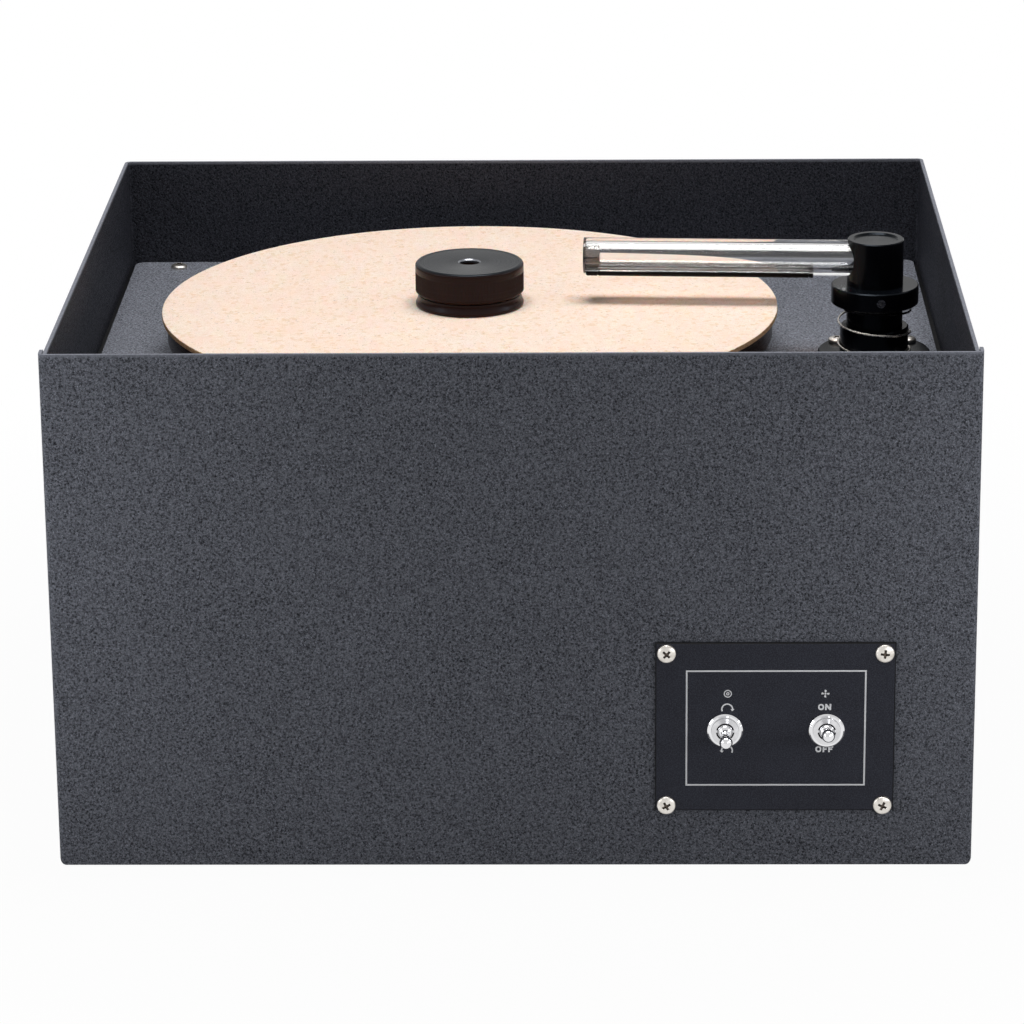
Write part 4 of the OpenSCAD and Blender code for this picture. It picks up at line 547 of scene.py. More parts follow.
NODE_FINISH = {
    COAT: "deck_plate",
    CASE_COAT: "front_panel case_wrap bottom_pan",
    PLATE: "control_plate",
    TURNED_BLACK: "platter clamp_foot",
    POST_BLACK: "swing_post post_collar post_flange",
    CHROME: "switch_nuts",
    SWITCH: "turntable_switch vacuum_switch",
    ZINC: "bottom_screws foot_screws chassis_screws gearbox_screws lid_screws platter_screws "
          "inlet_screws hub_set_screw",
    SET_SCREW: "collar_set_screw",
    SHAFT_CLAMP: "output_shaft spindle clamp_ring",
    SHAFT_POST: "retaining_ring",
    BRACKET: "vacuum_bracket",
    BLACK_STEEL: "deck_brackets",
    MOTOR: "motor_body vacuum_motor",
    ALLOY: "gearbox platter_hub fan_housing impeller motor_capacitor",
    BRASS: "drain_valve",
    BLACK_PLASTIC: "power_inlet fuse_drawer spring_washer",
    RED_GRIP: "drain_lever",
    TANK: "waste_tank tank_lid",
}


def finish_nodes():
    for material, names in NODE_FINISH.items():
        for name in names.split():
            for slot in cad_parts[name].material_slots:
                slot.material = material


# Clamp

def knurled_knob():
    """Turned knob with a fine straight knurl, a rounded shoulder and a bright bushing in its hole."""
    top, under = KNOB_HIGH[2], FOOT_HIGH[2] + 0.3
    dish, outer, shoulder = top - KNOB_DISH, 24.6, 1.6
    teeth, per_tooth, depth, run_out = 220, 6, 0.15, 0.35
    low, high = 218.5, 227.4
    profile = [
        (3.6, KNOB_LOW[2]), (8.2, KNOB_LOW[2]), (8.2, 213.0), (9.0, 213.0, 0.1), (9.0, under),
        (outer - 1.1, under, 0.2), (outer, under + 1.1, 0.25)]
    profile += [(outer, z, 0.0) for z in sorted([*np.linspace(low, high, 13), low + run_out, high - run_out])]
    profile += [(outer, top - shoulder, 0.1)]
    profile += [(outer - shoulder * (1 - math.cos(a)), top - shoulder * (1 - math.sin(a)), 0.0)
                for a in np.linspace(0.25, QUARTER, 7)]
    profile += [
        (outer - 2.6, dish, 0.3), (5.1, dish, 0.15), (4.5, dish - 0.6, 0.1), (4.5, dish - 1.7, 0.0),
        (4.5, SPINDLE_TOP), (3.6, SPINDLE_TOP)]

    def knurl(angles, r, z):
        if not low - 0.01 <= z <= high + 0.01 or r < outer - 0.3:
            return r
        ends = min(1.0, (z - low) / run_out, (high - z) / run_out)
        return r - depth * max(0.0, ends) * (0.5 - 0.5 * np.cos(angles * teeth)) ** 0.7

    verts, faces = lathe(soften(profile, 0.15, 3), PLATTER_AT, teeth * per_tooth, shape=knurl)
    middles = verts[np.array(faces)].mean(axis=1)
    reach, height = np.hypot(*(middles[:, :2] - PLATTER_AT).T), middles[:, 2]
    bright = (4.2 < reach) & (reach < 5.2) & (dish - 1.72 < height) & (height < dish - 0.02)
    add_piece("knurled_knob", (verts, faces), TURNED_BLACK, "clamp_knob", "clamp_knob", 50,
              bright, BUSHING)


def flared_foot():
    """The clamp's foot: a concave flare from its rim up to the neck."""
    low, high = FOOT_LOW[2], FOOT_HIGH[2]
    hole, step, rim, neck = 9.05, 16.4, 24.5, 23.4
    profile = [(hole, low + 1.6), (step, low + 1.6), (step, low + 0.96), (neck, low + 0.96, 0.0),
               (neck, low, 0.1), (rim - 0.3, low, 0.1), (rim, low + 0.3, 0.1)]
    profile += [(neck + (rim - neck) * (1 - t) ** 2, low + 1.2 + (high - low - 1.2) * t, 0.0)
                for t in np.linspace(0, 1, 12)[:-1]]
    profile += [(neck, high, 0.25), (hole, high)]
    add_piece("flared_foot", lathe(soften(profile, 0.12, 3), PLATTER_AT, 256), TURNED_BLACK, "clamp_foot",
              "clamp_foot")


def clamp_pad():
    low, high = (corner[2] for corner in box_mm("clamp_pad"))
    profile = soften([(16.42, low), (23.38, low), (23.38, high), (16.42, high)], 0.3, 3)
    groove = [(r, z + (0.18 if z < low + 0.1 and 18 < r < 21.5 else 0)) for r, z in profile]
    add_piece("ribbed_pad", lathe(groove, PLATTER_AT, 160), RUBBER, "clamp_foot", "clamp_pad")


# Mat

def mat_piece():
    """Cork disc whose cut edge is a little ragged."""
    low, high = MAT_LOW[2], MAT_HIGH[2]
    radius, hole = (MAT_HIGH[0] - MAT_LOW[0]) / 2, 4.0
    profile = [(hole, high, 0.3), (hole + 3, high, 0.0), (60, high, 0.0), (radius - 3, high, 0.0),
               (radius, high, 0.45), (radius, (low + high) / 2, 0.0), (radius, low, 0.3), (hole, low, 0.2)]

    def ragged(angles, r, z):
        if r < radius - 1:
            return r
        return r - 0.10 - 0.10 * np.array([noise.noise(Vector((*polar(70, a), z * 1.3))) for a in angles])

    piece = add_piece("cork_disc", lathe(soften(profile, 0.2), PLATTER_AT, 1080, shape=ragged), CORK,
                      "platter", "cork_mat", 60)
    # The cut edge takes the darker edge material, painted shade of the edge.
    piece.data.materials.append(CORK_EDGE)
    for face in piece.data.polygons:
        if abs(face.normal.z) < 0.55 and face.center.z < (high - 0.12) * MM:
            face.material_index = 1


# Switches

def bat_levers():
    """Polished bat levers: a ball that turns in the bushing, a waisted stem and a round tip."""
    ball, neck, tip, length, tail = 3.6, 1.55, 2.85, 13.5, 4.5
    cap, pin_r, pin_end = 1.05, 0.9, 5.05
    profile = [(0.001, -tail), (1.5, -tail, 0.3), (1.7, -math.sqrt(ball ** 2 - 1.7 ** 2), 0.1)]
    profile += [(*polar(ball, a), 0.0) for a in np.linspace(-cap, cap, 22)]
    reach = ball * math.sin(cap)
    for t in np.linspace(0.04, 1.0, 18):
        waist = neck + (tip * 0.97 - neck) * max(0.0, (t - 0.12) / 0.88) ** 1.15
        flare = 0.35 * max(0.0, 1 - t / 0.14) ** 2
        profile.append((min(waist + flare, tip), reach + (length - reach) * t, 0.0))
    profile += [(*polar(tip, a, (0, length)), 0.0) for a in np.linspace(0.1, 1.54, 14)]
    profile += [(0.001, length + tip, 0.0)]
    bat = lathe(soften(profile, 0.1, 3, closed=False), (0, 0), 72, closed=False)
    pin = [(0.001, -pin_end), (pin_r, -pin_end), (pin_r, pin_end), (0.001, pin_end)]
    pin = lathe(soften(pin, 0.1, 2, closed=False), (0, 0), 24, closed=False)
    for node, x, tilt in (("turntable_lever", TURNTABLE_X, 0.0), ("vacuum_lever", VACUUM_X, VACUUM_TILT)):
        pivot = (x, PLATE_Y - 2.0, SWITCH_Z)
        form = joined([along(bat, pivot, (0, -math.cos(tilt), math.sin(tilt)), (1, 0, 0)),
                       along(pin, pivot, (1, 0, 0))])
        add_piece(node.replace("lever", "bat"), form, CHROME, node, node, 40)


# Screws

def cross_screw(turn, length):
    """A pan head with a tapered cross recess, drawn on z = 0 with its shank below."""
    reach, depth, edge = HEAD_R * 0.50, HEAD_H * 0.55, HEAD_H * 0.4
    wide, narrow = HEAD_R * 0.13, HEAD_R * 0.09
    rings = [0.02, 0.5, 0.9, 1.25, 1.5, 1.7, 1.9, 2.1, reach]
    rings += [reach + (HEAD_R - reach) * k for k in (0.25, 0.5, 0.7, 0.84, 0.94, 0.985, 1.0)]
    verts, sunk = [], []
    for r in rings:
        crown = edge + (HEAD_H - edge) * math.sqrt(max(0.0, 1 - (r / HEAD_R) ** 2))
        floor = crown - depth * (1 - (r / reach) ** 3) if r < reach else crown
        in_wide = math.asin(min(0.68, wide / r))
        in_narrow = min(math.asin(min(0.66, narrow / r)), in_wide * 0.8)
        offsets = [-in_wide, -in_narrow, 0.0, in_narrow, in_wide]
        offsets += [in_wide + (QUARTER - 2 * in_wide) * k / 7 for k in range(1, 7)]
        for arm in range(4):
            for i, off in enumerate(offsets):
                z = floor if r <= wide * 1.7 or i in (1, 2, 3) else crown
                verts.append((*polar(r, arm * QUARTER + off + turn), z))
                sunk.append(crown - z > 0.12 * HEAD_H)
    side = len(verts) // len(rings)
    angles = [math.atan2(v[1], v[0]) for v in verts[-side:]]
    for r, z in ((HEAD_R, 0.12), (HEAD_R - 0.12, 0.0), (SCREW_R, 0.0), (SCREW_R, -length + 0.5),
                 (SCREW_R - 0.5, -length)):
        verts += [(*polar(r, a), z) for a in angles]
    sunk += [False] * (len(verts) - len(sunk))
    rows = len(verts) // side
    faces = grid_faces(rows, side, wrap_columns=True)
    faces += [tuple(range(side)), tuple((rows - 1) * side + k for k in range(side))]
    return (verts, faces), [any(sunk[i] for i in f) for f in faces]


def all_screws():
    """Cross headed screws: those that face up, those of the plate and the pair of the inlet."""
    for name, facing, length in (("deck", (0, 0, 1), 8.0), ("plate", (0, -1, 0), 8.0),
                                 ("flange", (0, 0, 1), 10.0), ("inlet", (0, 1, 0), 8.0)):
        low, high = box_mm(name + "_screws")
        across, deep, tall = zip(low + HEAD_R, high - HEAD_R)
        if name == "plate":
            deep = [PLATE_Y]
        elif name == "inlet":
            deep, tall = [high[1] - HEAD_H], [(low[2] + high[2]) / 2]
        else:
            tall = [high[2] - HEAD_H]
        forms, marks = [], []
        for i, at in enumerate([(x, y, z) for x in across for y in deep for z in tall]):
            form, sunk = cross_screw(0.5 + 1.9 * i, length)
            forms.append(along(form, at, facing, (0, 1, 0) if facing[2] else (0, 0, 1)))
            marks += sunk
        add_piece(name + "_pan_screws", joined(forms), NICKEL, "root", name + "_screws", 30,
                  marks, RECESS_SHADE)


# Post, spring and tube

def spring_coil():
    """The open coil under the collar, with flat ends."""
    wire, mean, pitch = 0.5, 16.29, 10.2
    turns, per_turn, start, flat = 2.75, 96, 150, 72
    top, low = WASHER_LOW - 0.3 - wire, FLANGE_TOP + wire
    path = []
    for turn in 360 * np.arange(int(turns * per_turn) + 1) / per_turn:
        z = max(low, min(top, top - pitch * (turn - flat) / 360))
        path.append((*polar(mean, math.radians(turn - start), POST_AT), z))
    path = np.array(path)
    path[:, 2] = np.convolve(np.pad(path[:, 2], 4, "edge"), np.ones(9) / 9, "valid")
    radius = np.full(len(path), wire)
    radius[[0, -1]] = wire * 0.75
    piece = add_piece("spring_coil", sweep(path, radius, 14), SPRING_STEEL, "root",
                      "post_spring", 50)
    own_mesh(piece)


def on_tube(form):
    """Sets a form, drawn with z along the tube from the post's axis and x up, where the tube is."""
    return along(form, (*POST_AT, TUBE_Z), (-math.cos(TUBE_TURN), math.sin(TUBE_TURN), 0))


def ring_angles(radius, count, gap_count):
    """Angles round the tube from one lip of the slot to the other, then across the slot."""
    half_gap = math.asin(SLOT_WIDTH / 2 / radius)
    start, end = math.pi + half_gap, math.pi - half_gap + TURN
    return [*np.linspace(start, end, count), *np.linspace(end, start + TURN, gap_count + 1)[1:-1]]


def tube_piece():
    """Thick walled clear tube with its suction slot cut through the underside."""
    count, gap_count = 141, 5
    lengths = [TUBE_START, TUBE_START + 0.15, TUBE_START + 0.3]
    lengths += list(np.linspace(TUBE_START + 3, SLOT_START, 6))
    slot_first = len(lengths) - 1
    lengths += list(np.linspace(SLOT_START, SLOT_END, 13)[1:])
    slot_last = len(lengths) - 1
    lengths += [TUBE_END - 0.3, TUBE_END - 0.15, TUBE_END]
    bevel = {TUBE_START: 0.3, TUBE_START + 0.15: 0.09, TUBE_END - 0.15: 0.06, TUBE_END: 0.2}
    verts = []
    for radius, share in ((TUBE_R, -1.0), (TUBE_BORE_R, 0.6)):
        angles = ring_angles(radius, count, gap_count)
        for z in lengths:
            verts += [(*polar(radius + share * bevel.get(z, 0.0), a), z) for a in angles]
    rows, ring, base = len(lengths), len(angles), len(verts) // 2
    faces = []
    for i in range(rows):
        slotted = slot_first <= i < slot_last
        for k in range(ring):
            a, b = i * ring + k, i * ring + (k + 1) % ring
            open_side = k >= count - 1
            if i < rows - 1 and not (slotted and open_side):
                outside = (a, b, b + ring, a + ring)
                faces += [outside, tuple(base + j for j in reversed(outside))]
            if slotted and k in (0, count - 1):
                faces.append((a, a + ring, base + a + ring, base + a))
            if i in (0, rows - 1) or open_side and i in (slot_first, slot_last):
                faces.append((a, b, base + b, base + a))
    add_piece("clear_tube", on_tube((verts, faces)), ACRYLIC, "swing", "pickup_tube", 30)


def plug_piece():
    reach, inner, disc, length = 132.0, TUBE_BORE_R - 0.02, 1.2, 6.2
    back, low = reach - disc, reach - disc - length
    profile = [(0.001, reach, 0.0), (TUBE_R, reach, 0.25), (TUBE_R, back, 0.12),
               (inner, back, 0.05), (inner, low, 0.4), (0.001, low, 0.0)]
    form = lathe(soften(profile, 0.2, closed=False), (0, 0), closed=False)
    add_piece("end_plug", on_tube(form), ACRYLIC_PLUG, "swing", "tube_plug", 40)


def felt_strip(z0, z1, a0, a1):
    """A soft strip bent round the tube, from one length and angle to another, thinner at its edges."""
    long, wide = z1 - z0, abs(a1 - a0) * FELT_OUT_R
    rows, columns = max(6, int(long / 0.45)), max(6, int(wide / 0.4))
    top, under = [], []
    for i in range(rows + 1):
        z = z0 + long * i / rows
        for k in range(columns + 1):
            a = math.pi + a0 + (a1 - a0) * k / columns
            edge = min(min(k, columns - k) / columns * wide, min(i, rows - i) / rows * long)
            fuzz = 0.08 * (noise.noise(Vector((z * 2.3, a * 19, 3.1))) - 0.6)
            r = FELT_OUT_R - 0.35 * max(0.0, 1 - edge / 0.5) ** 2 + min(0.0, fuzz)
            top.append((*polar(r, a), z))
            under.append((*polar(FELT_R, a), z))
    faces, n, last = grid_faces(rows + 1, columns + 1), len(top), columns + 1
    faces += [tuple(n + j for j in reversed(f)) for f in faces]
    rim = list(range(columns)) + [i * last + columns for i in range(rows)]
    rim += [rows * last + columns - k for k in range(columns)] + [(rows - i) * last for i in range(rows)]
    faces += [(a, b, n + b, n + a) for a, b in zip(rim, rim[1:] + rim[:1])]
    return top + under, faces


def felt_piece():
    """Two soft strips glued along the slot, joined round its ends."""
    half_out = math.asin(FELT_WIDTH / 2 / FELT_OUT_R)
    half_gap = math.asin((SLOT_WIDTH / 2 + 0.05) / FELT_OUT_R)
    form = joined([felt_strip(*limits) for limits in (
        (SLOT_START, SLOT_END, -half_out, -half_gap), (SLOT_START, SLOT_END, half_gap, half_out),
        (FELT_START, SLOT_START - 0.03, -half_out, half_out),
        (SLOT_END + 0.03, TUBE_END, -half_out, half_out))])
    add_piece("felt_strips", on_tube(form), FELT, "swing", "felt_lips", 60)


def post_seal():
    low, high = (corner[2] for corner in box_mm("post_seal"))
    outer, inner, lips = 16.48, 12.9, 3
    step = (high - low) / lips
    profile = [(outer, low, 0.2), (outer, high, 0.2)]
    for k in range(lips):
        z = high - k * step
        profile += [(inner + 0.7, z - 0.02, 0.1), (inner, z - step / 2, 0.25)]
    profile += [(inner + 0.7, low + 0.02, 0.1)]
    add_piece("lipped_seal", lathe(soften(profile, 0.2, 3), POST_AT), RUBBER, "root", "post_seal")


# Under the case and inside it

def rubber_feet():
    """Tapered feet with a recess, a moulded rim and a ribbed sole."""
    low, high = box_mm("feet")
    bore, height = 2.15, 6.0
    recess = [(bore, 3.4), (5.0, 3.4, 0.2), (5.05, 0.2, 0.3)]
    sole = [(6.2, 0.0, 0.2), (7.4, 0.0, 0.2), (7.6, 0.35, 0.1), (8.2, 0.35, 0.1), (8.4, 0.0, 0.2),
            (9.6, 0.0, 0.2), (9.8, 0.35, 0.1), (10.4, 0.35, 0.1), (10.6, 0.0, 0.2)]
    outside = [(11.4, 0.0, 0.5), (11.75, 1.2, 0.4), (FOOT_R, 4.8, 0.3), (FOOT_R, height, 0.15),
               (bore, height)]
    profile = soften(recess + sole + outside, 0.2, 3)
    form = joined([lathe(profile, (x, y), 96) for x in (low[0] + FOOT_R, high[0] - FOOT_R)
                   for y in (low[1] + FOOT_R, high[1] - FOOT_R)])
    add_piece("ribbed_feet", form, RUBBER, "root", "feet")


def rounded_rectangle(low, high, inset):
    """Plan of a rounded rectangle, the same count of points whatever the inset."""
    radius, per_corner = 10.0, 8
    (left, front), (right, back) = low[:2] + radius, high[:2] - radius
    return [polar(radius - inset, QUARTER * (corner + k / per_corner), at)
            for corner, at in enumerate(((right, back), (left, back), (left, front), (right, front)))
            for k in range(per_corner + 1)]


def tank_gasket():
    low, high = box_mm("tank_gasket")
    thick, wide, lug_in = high[2] - low[2], 3.0, 7.0
    section = soften([(0.0, 0.0), (wide, 0.0), (wide, thick), (0.0, thick)], 0.45)
    rows = [[(x, y, low[2] + z) for x, y in rounded_rectangle(low, high, d)] for d, z in section]
    forms = [(np.concatenate(rows), grid_faces(len(rows), len(rows[0]), True, True))]
    under, over = low[2] + 0.02, high[2] - 0.02
    lug = soften([(2.2, under), (6.9, under), (6.9, over), (2.2, over)], 0.4, 3)
    forms += [lathe(lug, (x, y), 48) for x in (low[0] + lug_in, high[0] - lug_in)
              for y in (low[1] + lug_in, (low[1] + high[1]) / 2, high[1] - lug_in)]
    add_piece("lid_gasket", joined(forms), RUBBER, "root", "tank_gasket")


def fan_gasket():
    low, high = box_mm("vacuum_gasket")
    outer, inner, groove = (high[0] - low[0]) / 2, 44.0, low[2] + 0.25
    middle = (outer + inner) / 2
    profile = [(inner, low[2], 0.4), (middle - 2, low[2]), (middle - 1, groove), (middle + 1, groove),
               (middle + 2, low[2]), (outer, low[2], 0.4), (outer, high[2], 0.4), (inner, high[2], 0.4)]
    add_piece("fan_seal", lathe(soften(profile, 0.25, 3), (low + high)[:2] / 2, 192), RUBBER, "root",
              "vacuum_gasket")


def ribbed_hose():
    """Corrugated hose from the fan's inlet over to the tank's lid, with smooth cuffs."""
    low, high = box_mm("air_hose")
    outer, bore, bend, rib, sides = 15.5, 13.1, 24.0, 4.4, 40
    x0, x1, y = low[0] + outer, high[0] - outer, (low[1] + high[1]) / 2
    top = high[2] - outer
    turn = top - bend
    start = box_mm("fan_housing")[1][2] - FAN_NECK + HOSE_GAP
    end = box_mm("tank_gasket")[1][2] + LID_T + HOSE_GAP
    quarter = np.linspace(0, QUARTER, 76)
    path = [(x0, y, z) for z in np.arange(start, turn, 0.5)]
    path += [(x0 + bend * (1 - math.cos(a)), y, turn + bend * math.sin(a)) for a in quarter]
    path += [(x, y, top) for x in np.arange(x0 + bend + 0.5, x1 - bend, 0.5)]
    path += [(x1 - bend * (1 - math.sin(a)), y, turn + bend * math.cos(a)) for a in quarter]
    path += [(x1, y, z) for z in np.arange(turn - 0.5, end - 0.25, -0.5)]
    run = np.concatenate([[0], np.cumsum(np.linalg.norm(np.diff(path, axis=0), axis=1))])
    ribbed = np.clip(np.minimum(run, run[-1] - run) / 1.5 - 12, 0, 1)
    radius = outer - 0.05 - ribbed * 0.65 * (0.5 + 0.5 * np.cos(run * TURN / rib))
    outside, faces = sweep(path, radius, sides, close_ends=False)
    inside, _ = sweep(path, bore, sides, close_ends=False)
    n, last = len(outside), (len(path) - 1) * sides
    faces = faces + [tuple(n + i for i in reversed(f)) for f in faces]
    for k in range(sides):
        m = (k + 1) % sides
        faces += [(k, m, n + m, n + k), (last + m, last + k, n + last + k, n + last + m)]
    add_piece("ribbed_hose", (np.concatenate([outside, inside]), faces), RUBBER, "root",
              "air_hose", 60)


def wire_routes():
    """Inlet to vacuum switch, turntable switch to gear motor, vacuum switch to vacuum motor."""
    inlet, motor, fan = map(middle_of, ("power_inlet", "motor_body", "vacuum_motor"))
    inlet_y, inlet_z = box_mm("power_inlet")[0][1], inlet[2] + 6.5
    motor_y, fan_y = motor[1] - 34, fan[1] - 42
    switch_y = box_mm("turntable_switch")[1][1]
    end, rear = switch_y + 0.2, switch_y + 14
    return [
        [(inlet[0], inlet_y - 0.2, inlet_z), (inlet[0], inlet_y - 20, inlet_z), (50, 90, 30), (66, 40, 22),
         (70, -60, 20), (VACUUM_X - 12, -110, 40), (VACUUM_X, rear, SWITCH_Z + 6),
         (VACUUM_X, end, SWITCH_Z + 6)],
        [(TURNTABLE_X, end, SWITCH_Z), (TURNTABLE_X, rear + 2, SWITCH_Z), (60, -110, 60), (20, -80, 70),
         (motor[0], motor_y - 14, 100), (motor[0], motor_y - 0.2, 100)],
        [(VACUUM_X, end, SWITCH_Z - 8), (VACUUM_X, rear, SWITCH_Z - 8), (90, -116, 18), (20, -100, 18),
         (-70, -60, 18), (fan[0], fan_y - 24, 30), (fan[0], fan_y - 0.2, 30)],
    ]


def wiring():
    """Three sheathed cables inside the case, each with its strain relief and ties."""
    cables, ties = [], []
    for route in wire_routes():
        path = smooth_path(route)
        radius = np.full(len(path), CABLE_R)
        radius[:3] = radius[-3:] = RELIEF_R
        cables.append(sweep(path, radius, 20))
        for share in (0.25, 0.5, 0.75):
            i = int(share * (len(path) - 3)) + 1
            ahead = path[i + 1] - path[i]
            band = np.linspace(-1.2, 1.2, 4)[:, None] * ahead / np.linalg.norm(ahead) + path[i]
            ties.append(sweep(band, RELIEF_R, 24))
    add_piece("sheathed_cables", joined(cables), WIRE, "root", "wiring_loom", 50)
    add_piece("cable_ties", joined(ties), TIE, "root", sharp=50)


# Printing on the control plate

def flat_outline(loops):
    """Fills closed outlines in front view, with holes, as a thin raised print."""
    curve = bpy.data.curves.new("print_outline", "CURVE")
    curve.dimensions = "2D"
    curve.fill_mode = "BOTH"
    curve.extrude = PRINT_T
    for loop in loops:
        spline = curve.splines.new("POLY")
        spline.points.add(len(loop) - 1)
        for point, (x, z) in zip(spline.points, loop):
            point.co = (x, z, 0, 1)
        spline.use_cyclic_u = True
    made = bpy.data.objects.new("print_outline", curve)
    mesh = bpy.data.meshes.new_from_object(made)
    verts = [(v.co.x, PLATE_Y - PRINT_T + v.co.z, v.co.y) for v in mesh.vertices]
    faces = [tuple(p.vertices) for p in mesh.polygons]
    bpy.data.objects.remove(made)
    bpy.data.curves.remove(curve)
    bpy.data.meshes.remove(mesh)
    return verts, faces


def oval(x, z, rx, rz, power=2.0, count=40):
    out = []
    for k in range(count):
        c, s = polar(1, TURN * k / count)
        out.append((x + rx * math.copysign(abs(c) ** (2 / power), c),
                    z + rz * math.copysign(abs(s) ** (2 / power), s)))
    return out


def letter(shape, x, z, height, width, s):
    """Bold capital outlines round the middle (x, z); s is the stroke."""
    l, r, b, t = x - width / 2, x + width / 2, z - height / 2, z + height / 2
    if shape == "O":
        return [oval(x, z, width / 2, height / 2, 2.3), oval(x, z, width / 2 - s, height / 2 - s, 2.2)]
    if shape == "N":
        return [[(l, b), (l + s, b), (l + s, t - s * 1.9), (r - s, b), (r, b), (r, t), (r - s, t),
                 (r - s, b + s * 1.9), (l + s, t), (l, t)]]
    return [[(l, b), (l + s, b), (l + s, z - s * 0.45), (r - s * 0.5, z - s * 0.45),
             (r - s * 0.5, z + s * 0.5), (l + s, z + s * 0.5), (l + s, t - s), (r, t - s), (r, t), (l, t)]]


def arc_arrow(at, radius, stroke, start, turn):
    """A round arrow that shows a sense of turning."""
    count, wing = 24, 1.35 * stroke
    angles = [start + turn * k / count for k in range(count + 1)]
    outer = [polar(radius + stroke / 2, a, at) for a in angles]
    inner = [polar(radius - stroke / 2, a, at) for a in angles]
    end = angles[-1]
    tip = end + math.copysign(1.7 * stroke / radius, turn)
    head = [polar(radius + wing, end, at), polar(radius, tip, at), polar(radius - wing, end, at)]
    return [outer + head + inner[::-1]]


def fan_blade(x, z, inner, outer, turn):
    """One curved blade of the fan mark."""
    points = [(inner, -0.25), (outer * 0.75, -0.62), (outer, -0.1), (outer * 0.92, 0.42), (inner, 0.25)]
    c, s = polar(1, turn)
    return [(x + a * c - b * s, z + a * s + b * c) for a, b in points]


def printing():
    """A fine frame line, ON and OFF, round arrows for the two ways of turning, a disc and a fan."""
    left, right, low, high, line = 73.8, 150.75, 43.35, 96.15, 0.7
    above, below, height, stroke = 79.4, 60.1, 2.8, 0.70
    words_x, arrows_x, disc_x, fan_x, marks_z = 133.05, 91.5, 91.7, 133.3, 85.5
    prints = [[[(left + d, low + d), (right - d, low + d), (right - d, high - d), (left + d, high - d)]
               for d in (0, line)]]
    for shape, dx, z, width in (("O", -1.5, above, 2.6), ("N", 1.5, above, 2.6), ("O", -2.4, below, 2.6),
                                ("F", 0.45, below, 2.1), ("F", 2.85, below, 2.1)):
        prints.append(letter(shape, words_x + dx, z, height, width, stroke))
    for z, start, way in ((above - 0.9, 205, -1), (below - 0.6, -25, 1)):
        prints.append(arc_arrow((arrows_x, z), 2.3, 0.62, math.radians(start), way * math.radians(205)))
    for radii in ((1.75, 1.3), (0.75, 0.28)):
        prints.append([oval(disc_x, marks_z, r, r) for r in radii])
    prints.append([oval(fan_x, marks_z, 0.45, 0.45, count=20)])
    prints += [[fan_blade(fan_x, marks_z, 0.62, 1.8, k * QUARTER)] for k in range(4)]
    form = joined([flat_outline(loops) for loops in prints])
    add_piece("plate_print", form, INK, "root", sharp=30)


# Stage, camera and lamps

def stage_material():
    """White floor that keeps the shadow but shows as white to the camera and in reflections."""
    f = Finish("pale_floor", 0.0, Roughness=0.9)
    away = f.ramp(f.vector("LENGTH", f.place)["Value"], 0.26, 0.62, FLOOR_NEAR, 1.0)
    white = f.node("Emission", {"Color": (1, 1, 1, 1), "Strength": 1.0})
    f.blend_in(f.math("MULTIPLY", f.seen(), away), white)
    return f.done((0.30, 0.30, 0.30, 1))


def make_stage():
    count, reach = 64, 9.0
    ring = [(*polar(reach, TURN * k / count), 0.0) for k in range(count)]
    mesh = bpy.data.meshes.new("floor")
    mesh.from_pydata(ring, [], [tuple(range(count))])
    mesh.materials.append(stage_material())
    in_scene("floor", mesh)


def make_world():
    """A dim even light that shows as bright to the camera and in reflections."""
    world = bpy.data.worlds.new("studio")
    n = Nodes(world)
    back = n.node("Background", {"Strength": n.ramp(n.seen(), 0.0, 1.0, WORLD_DIFFUSE, 1.0)})
    n.put(n.node("OutputWorld").inputs[0], back.outputs[0])
    bpy.context.scene.world = world


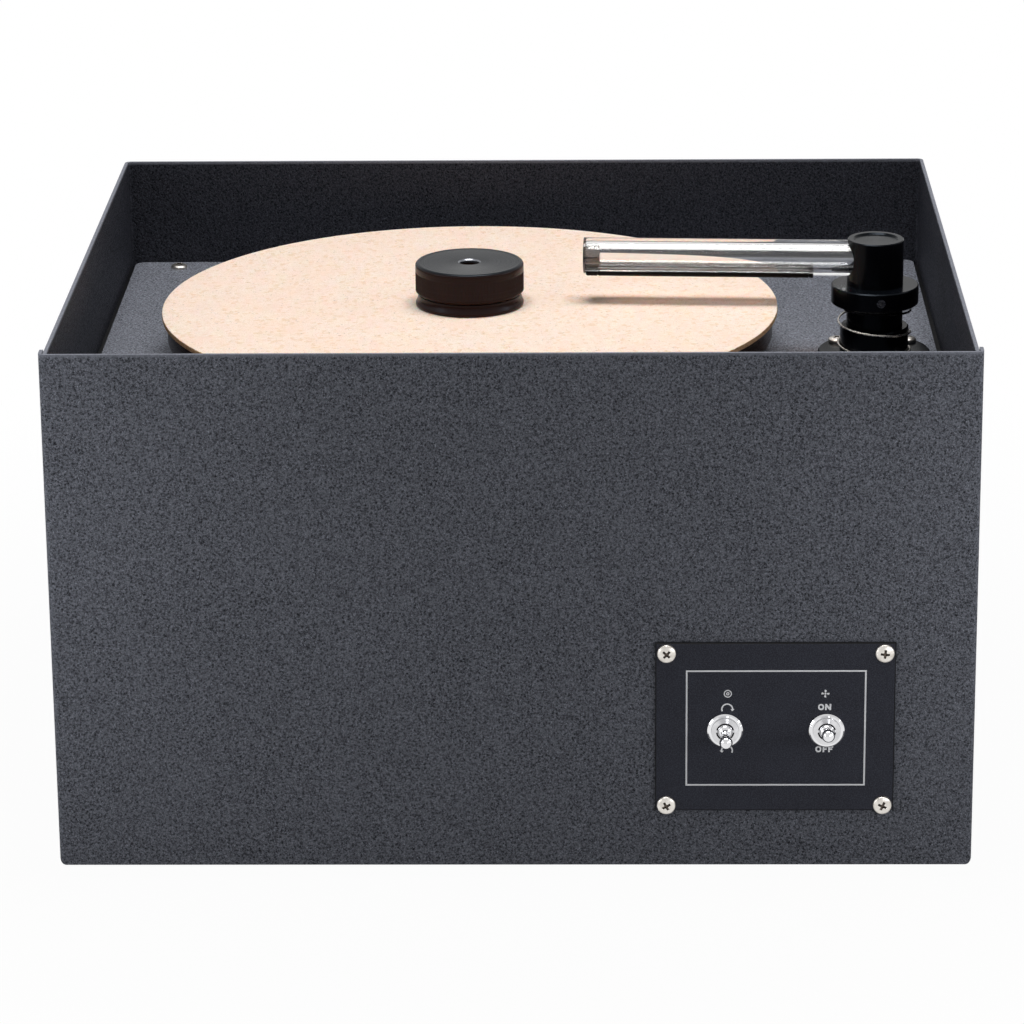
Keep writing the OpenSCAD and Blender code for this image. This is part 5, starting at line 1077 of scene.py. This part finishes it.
def make_lamps():
    """A soft overhead lamp, two strips beside it, and four low ones that stay below the case's rim."""
    warm, cool, cold = (1.0, 0.99, 0.98), (0.97, 0.98, 1.0), (0.94, 0.97, 1.0)
    for name, at, target, size, power, tone in (
            ("key", (0.03, -0.12, 1.45), (0.0, -0.02, 0.2), (0.9, 0.5), 16.8, warm),
            ("strip_left", (-0.84, -0.40, 0.56), (0, 0, 0.2), (0.12, 0.36), 0.8, cold),
            ("strip_right", (0.90, -0.06, 0.56), (0, 0, 0.2), (0.12, 0.36), 0.8, cold),
            ("front_left", (-0.36, -0.36, 0.185), (-0.2016, -0.144, 0.185), (0.36, 0.1), 0.37, cool),
            ("front_right", (0.37, -0.36, 0.185), (0.2072, -0.144, 0.185), (0.36, 0.1), 0.39, cool),
            ("back_left", (-0.6, 0.75, 0.12), (-0.336, 0.3, 0.12), (0.36, 0.2), 1.2, cool),
            ("back_right", (0.6, 0.75, 0.12), (0.336, 0.3, 0.12), (0.36, 0.2), 1.2, cool)):
        lamp = bpy.data.lights.new(name, "AREA")
        lamp.shape = "RECTANGLE"
        lamp.size, lamp.size_y = size
        lamp.energy = power
        lamp.color = tone
        holder = in_scene(name, lamp)
        holder.location = at
        holder.rotation_euler = (Vector(target) - Vector(at)).to_track_quat("-Z", "Y").to_euler()
        holder.visible_camera = False


def make_camera():
    """The photograph's view, fitted to the case's corners and the platter."""
    focal_px, frame_px, sensor = 4355.32, 1024, 36.0
    pitch, yaw, roll = 0.32027, 0.02183, -0.00919
    data = bpy.data.cameras.new("camera")
    data.sensor_width = sensor
    data.lens = focal_px * sensor / frame_px
    data.clip_end = 50
    camera = in_scene("camera", data)
    camera.matrix_world = (
        Matrix.Translation((0.03831, -1.914025, 0.7451)) @ Matrix.Rotation(yaw, 4, "Z")
        @ Matrix.Rotation(QUARTER - pitch, 4, "X") @ Matrix.Rotation(roll, 4, "Z"))
    bpy.context.scene.camera = camera


for step in (make_camera, make_stage, make_world, make_lamps, finish_nodes, knurled_knob, flared_foot,
             clamp_pad, mat_piece, bat_levers, all_screws, spring_coil, tube_piece, plug_piece, felt_piece,
             post_seal, rubber_feet, tank_gasket, fan_gasket, ribbed_hose, wiring, printing):
    step()
bpy.context.scene.view_settings.view_transform = "Standard"
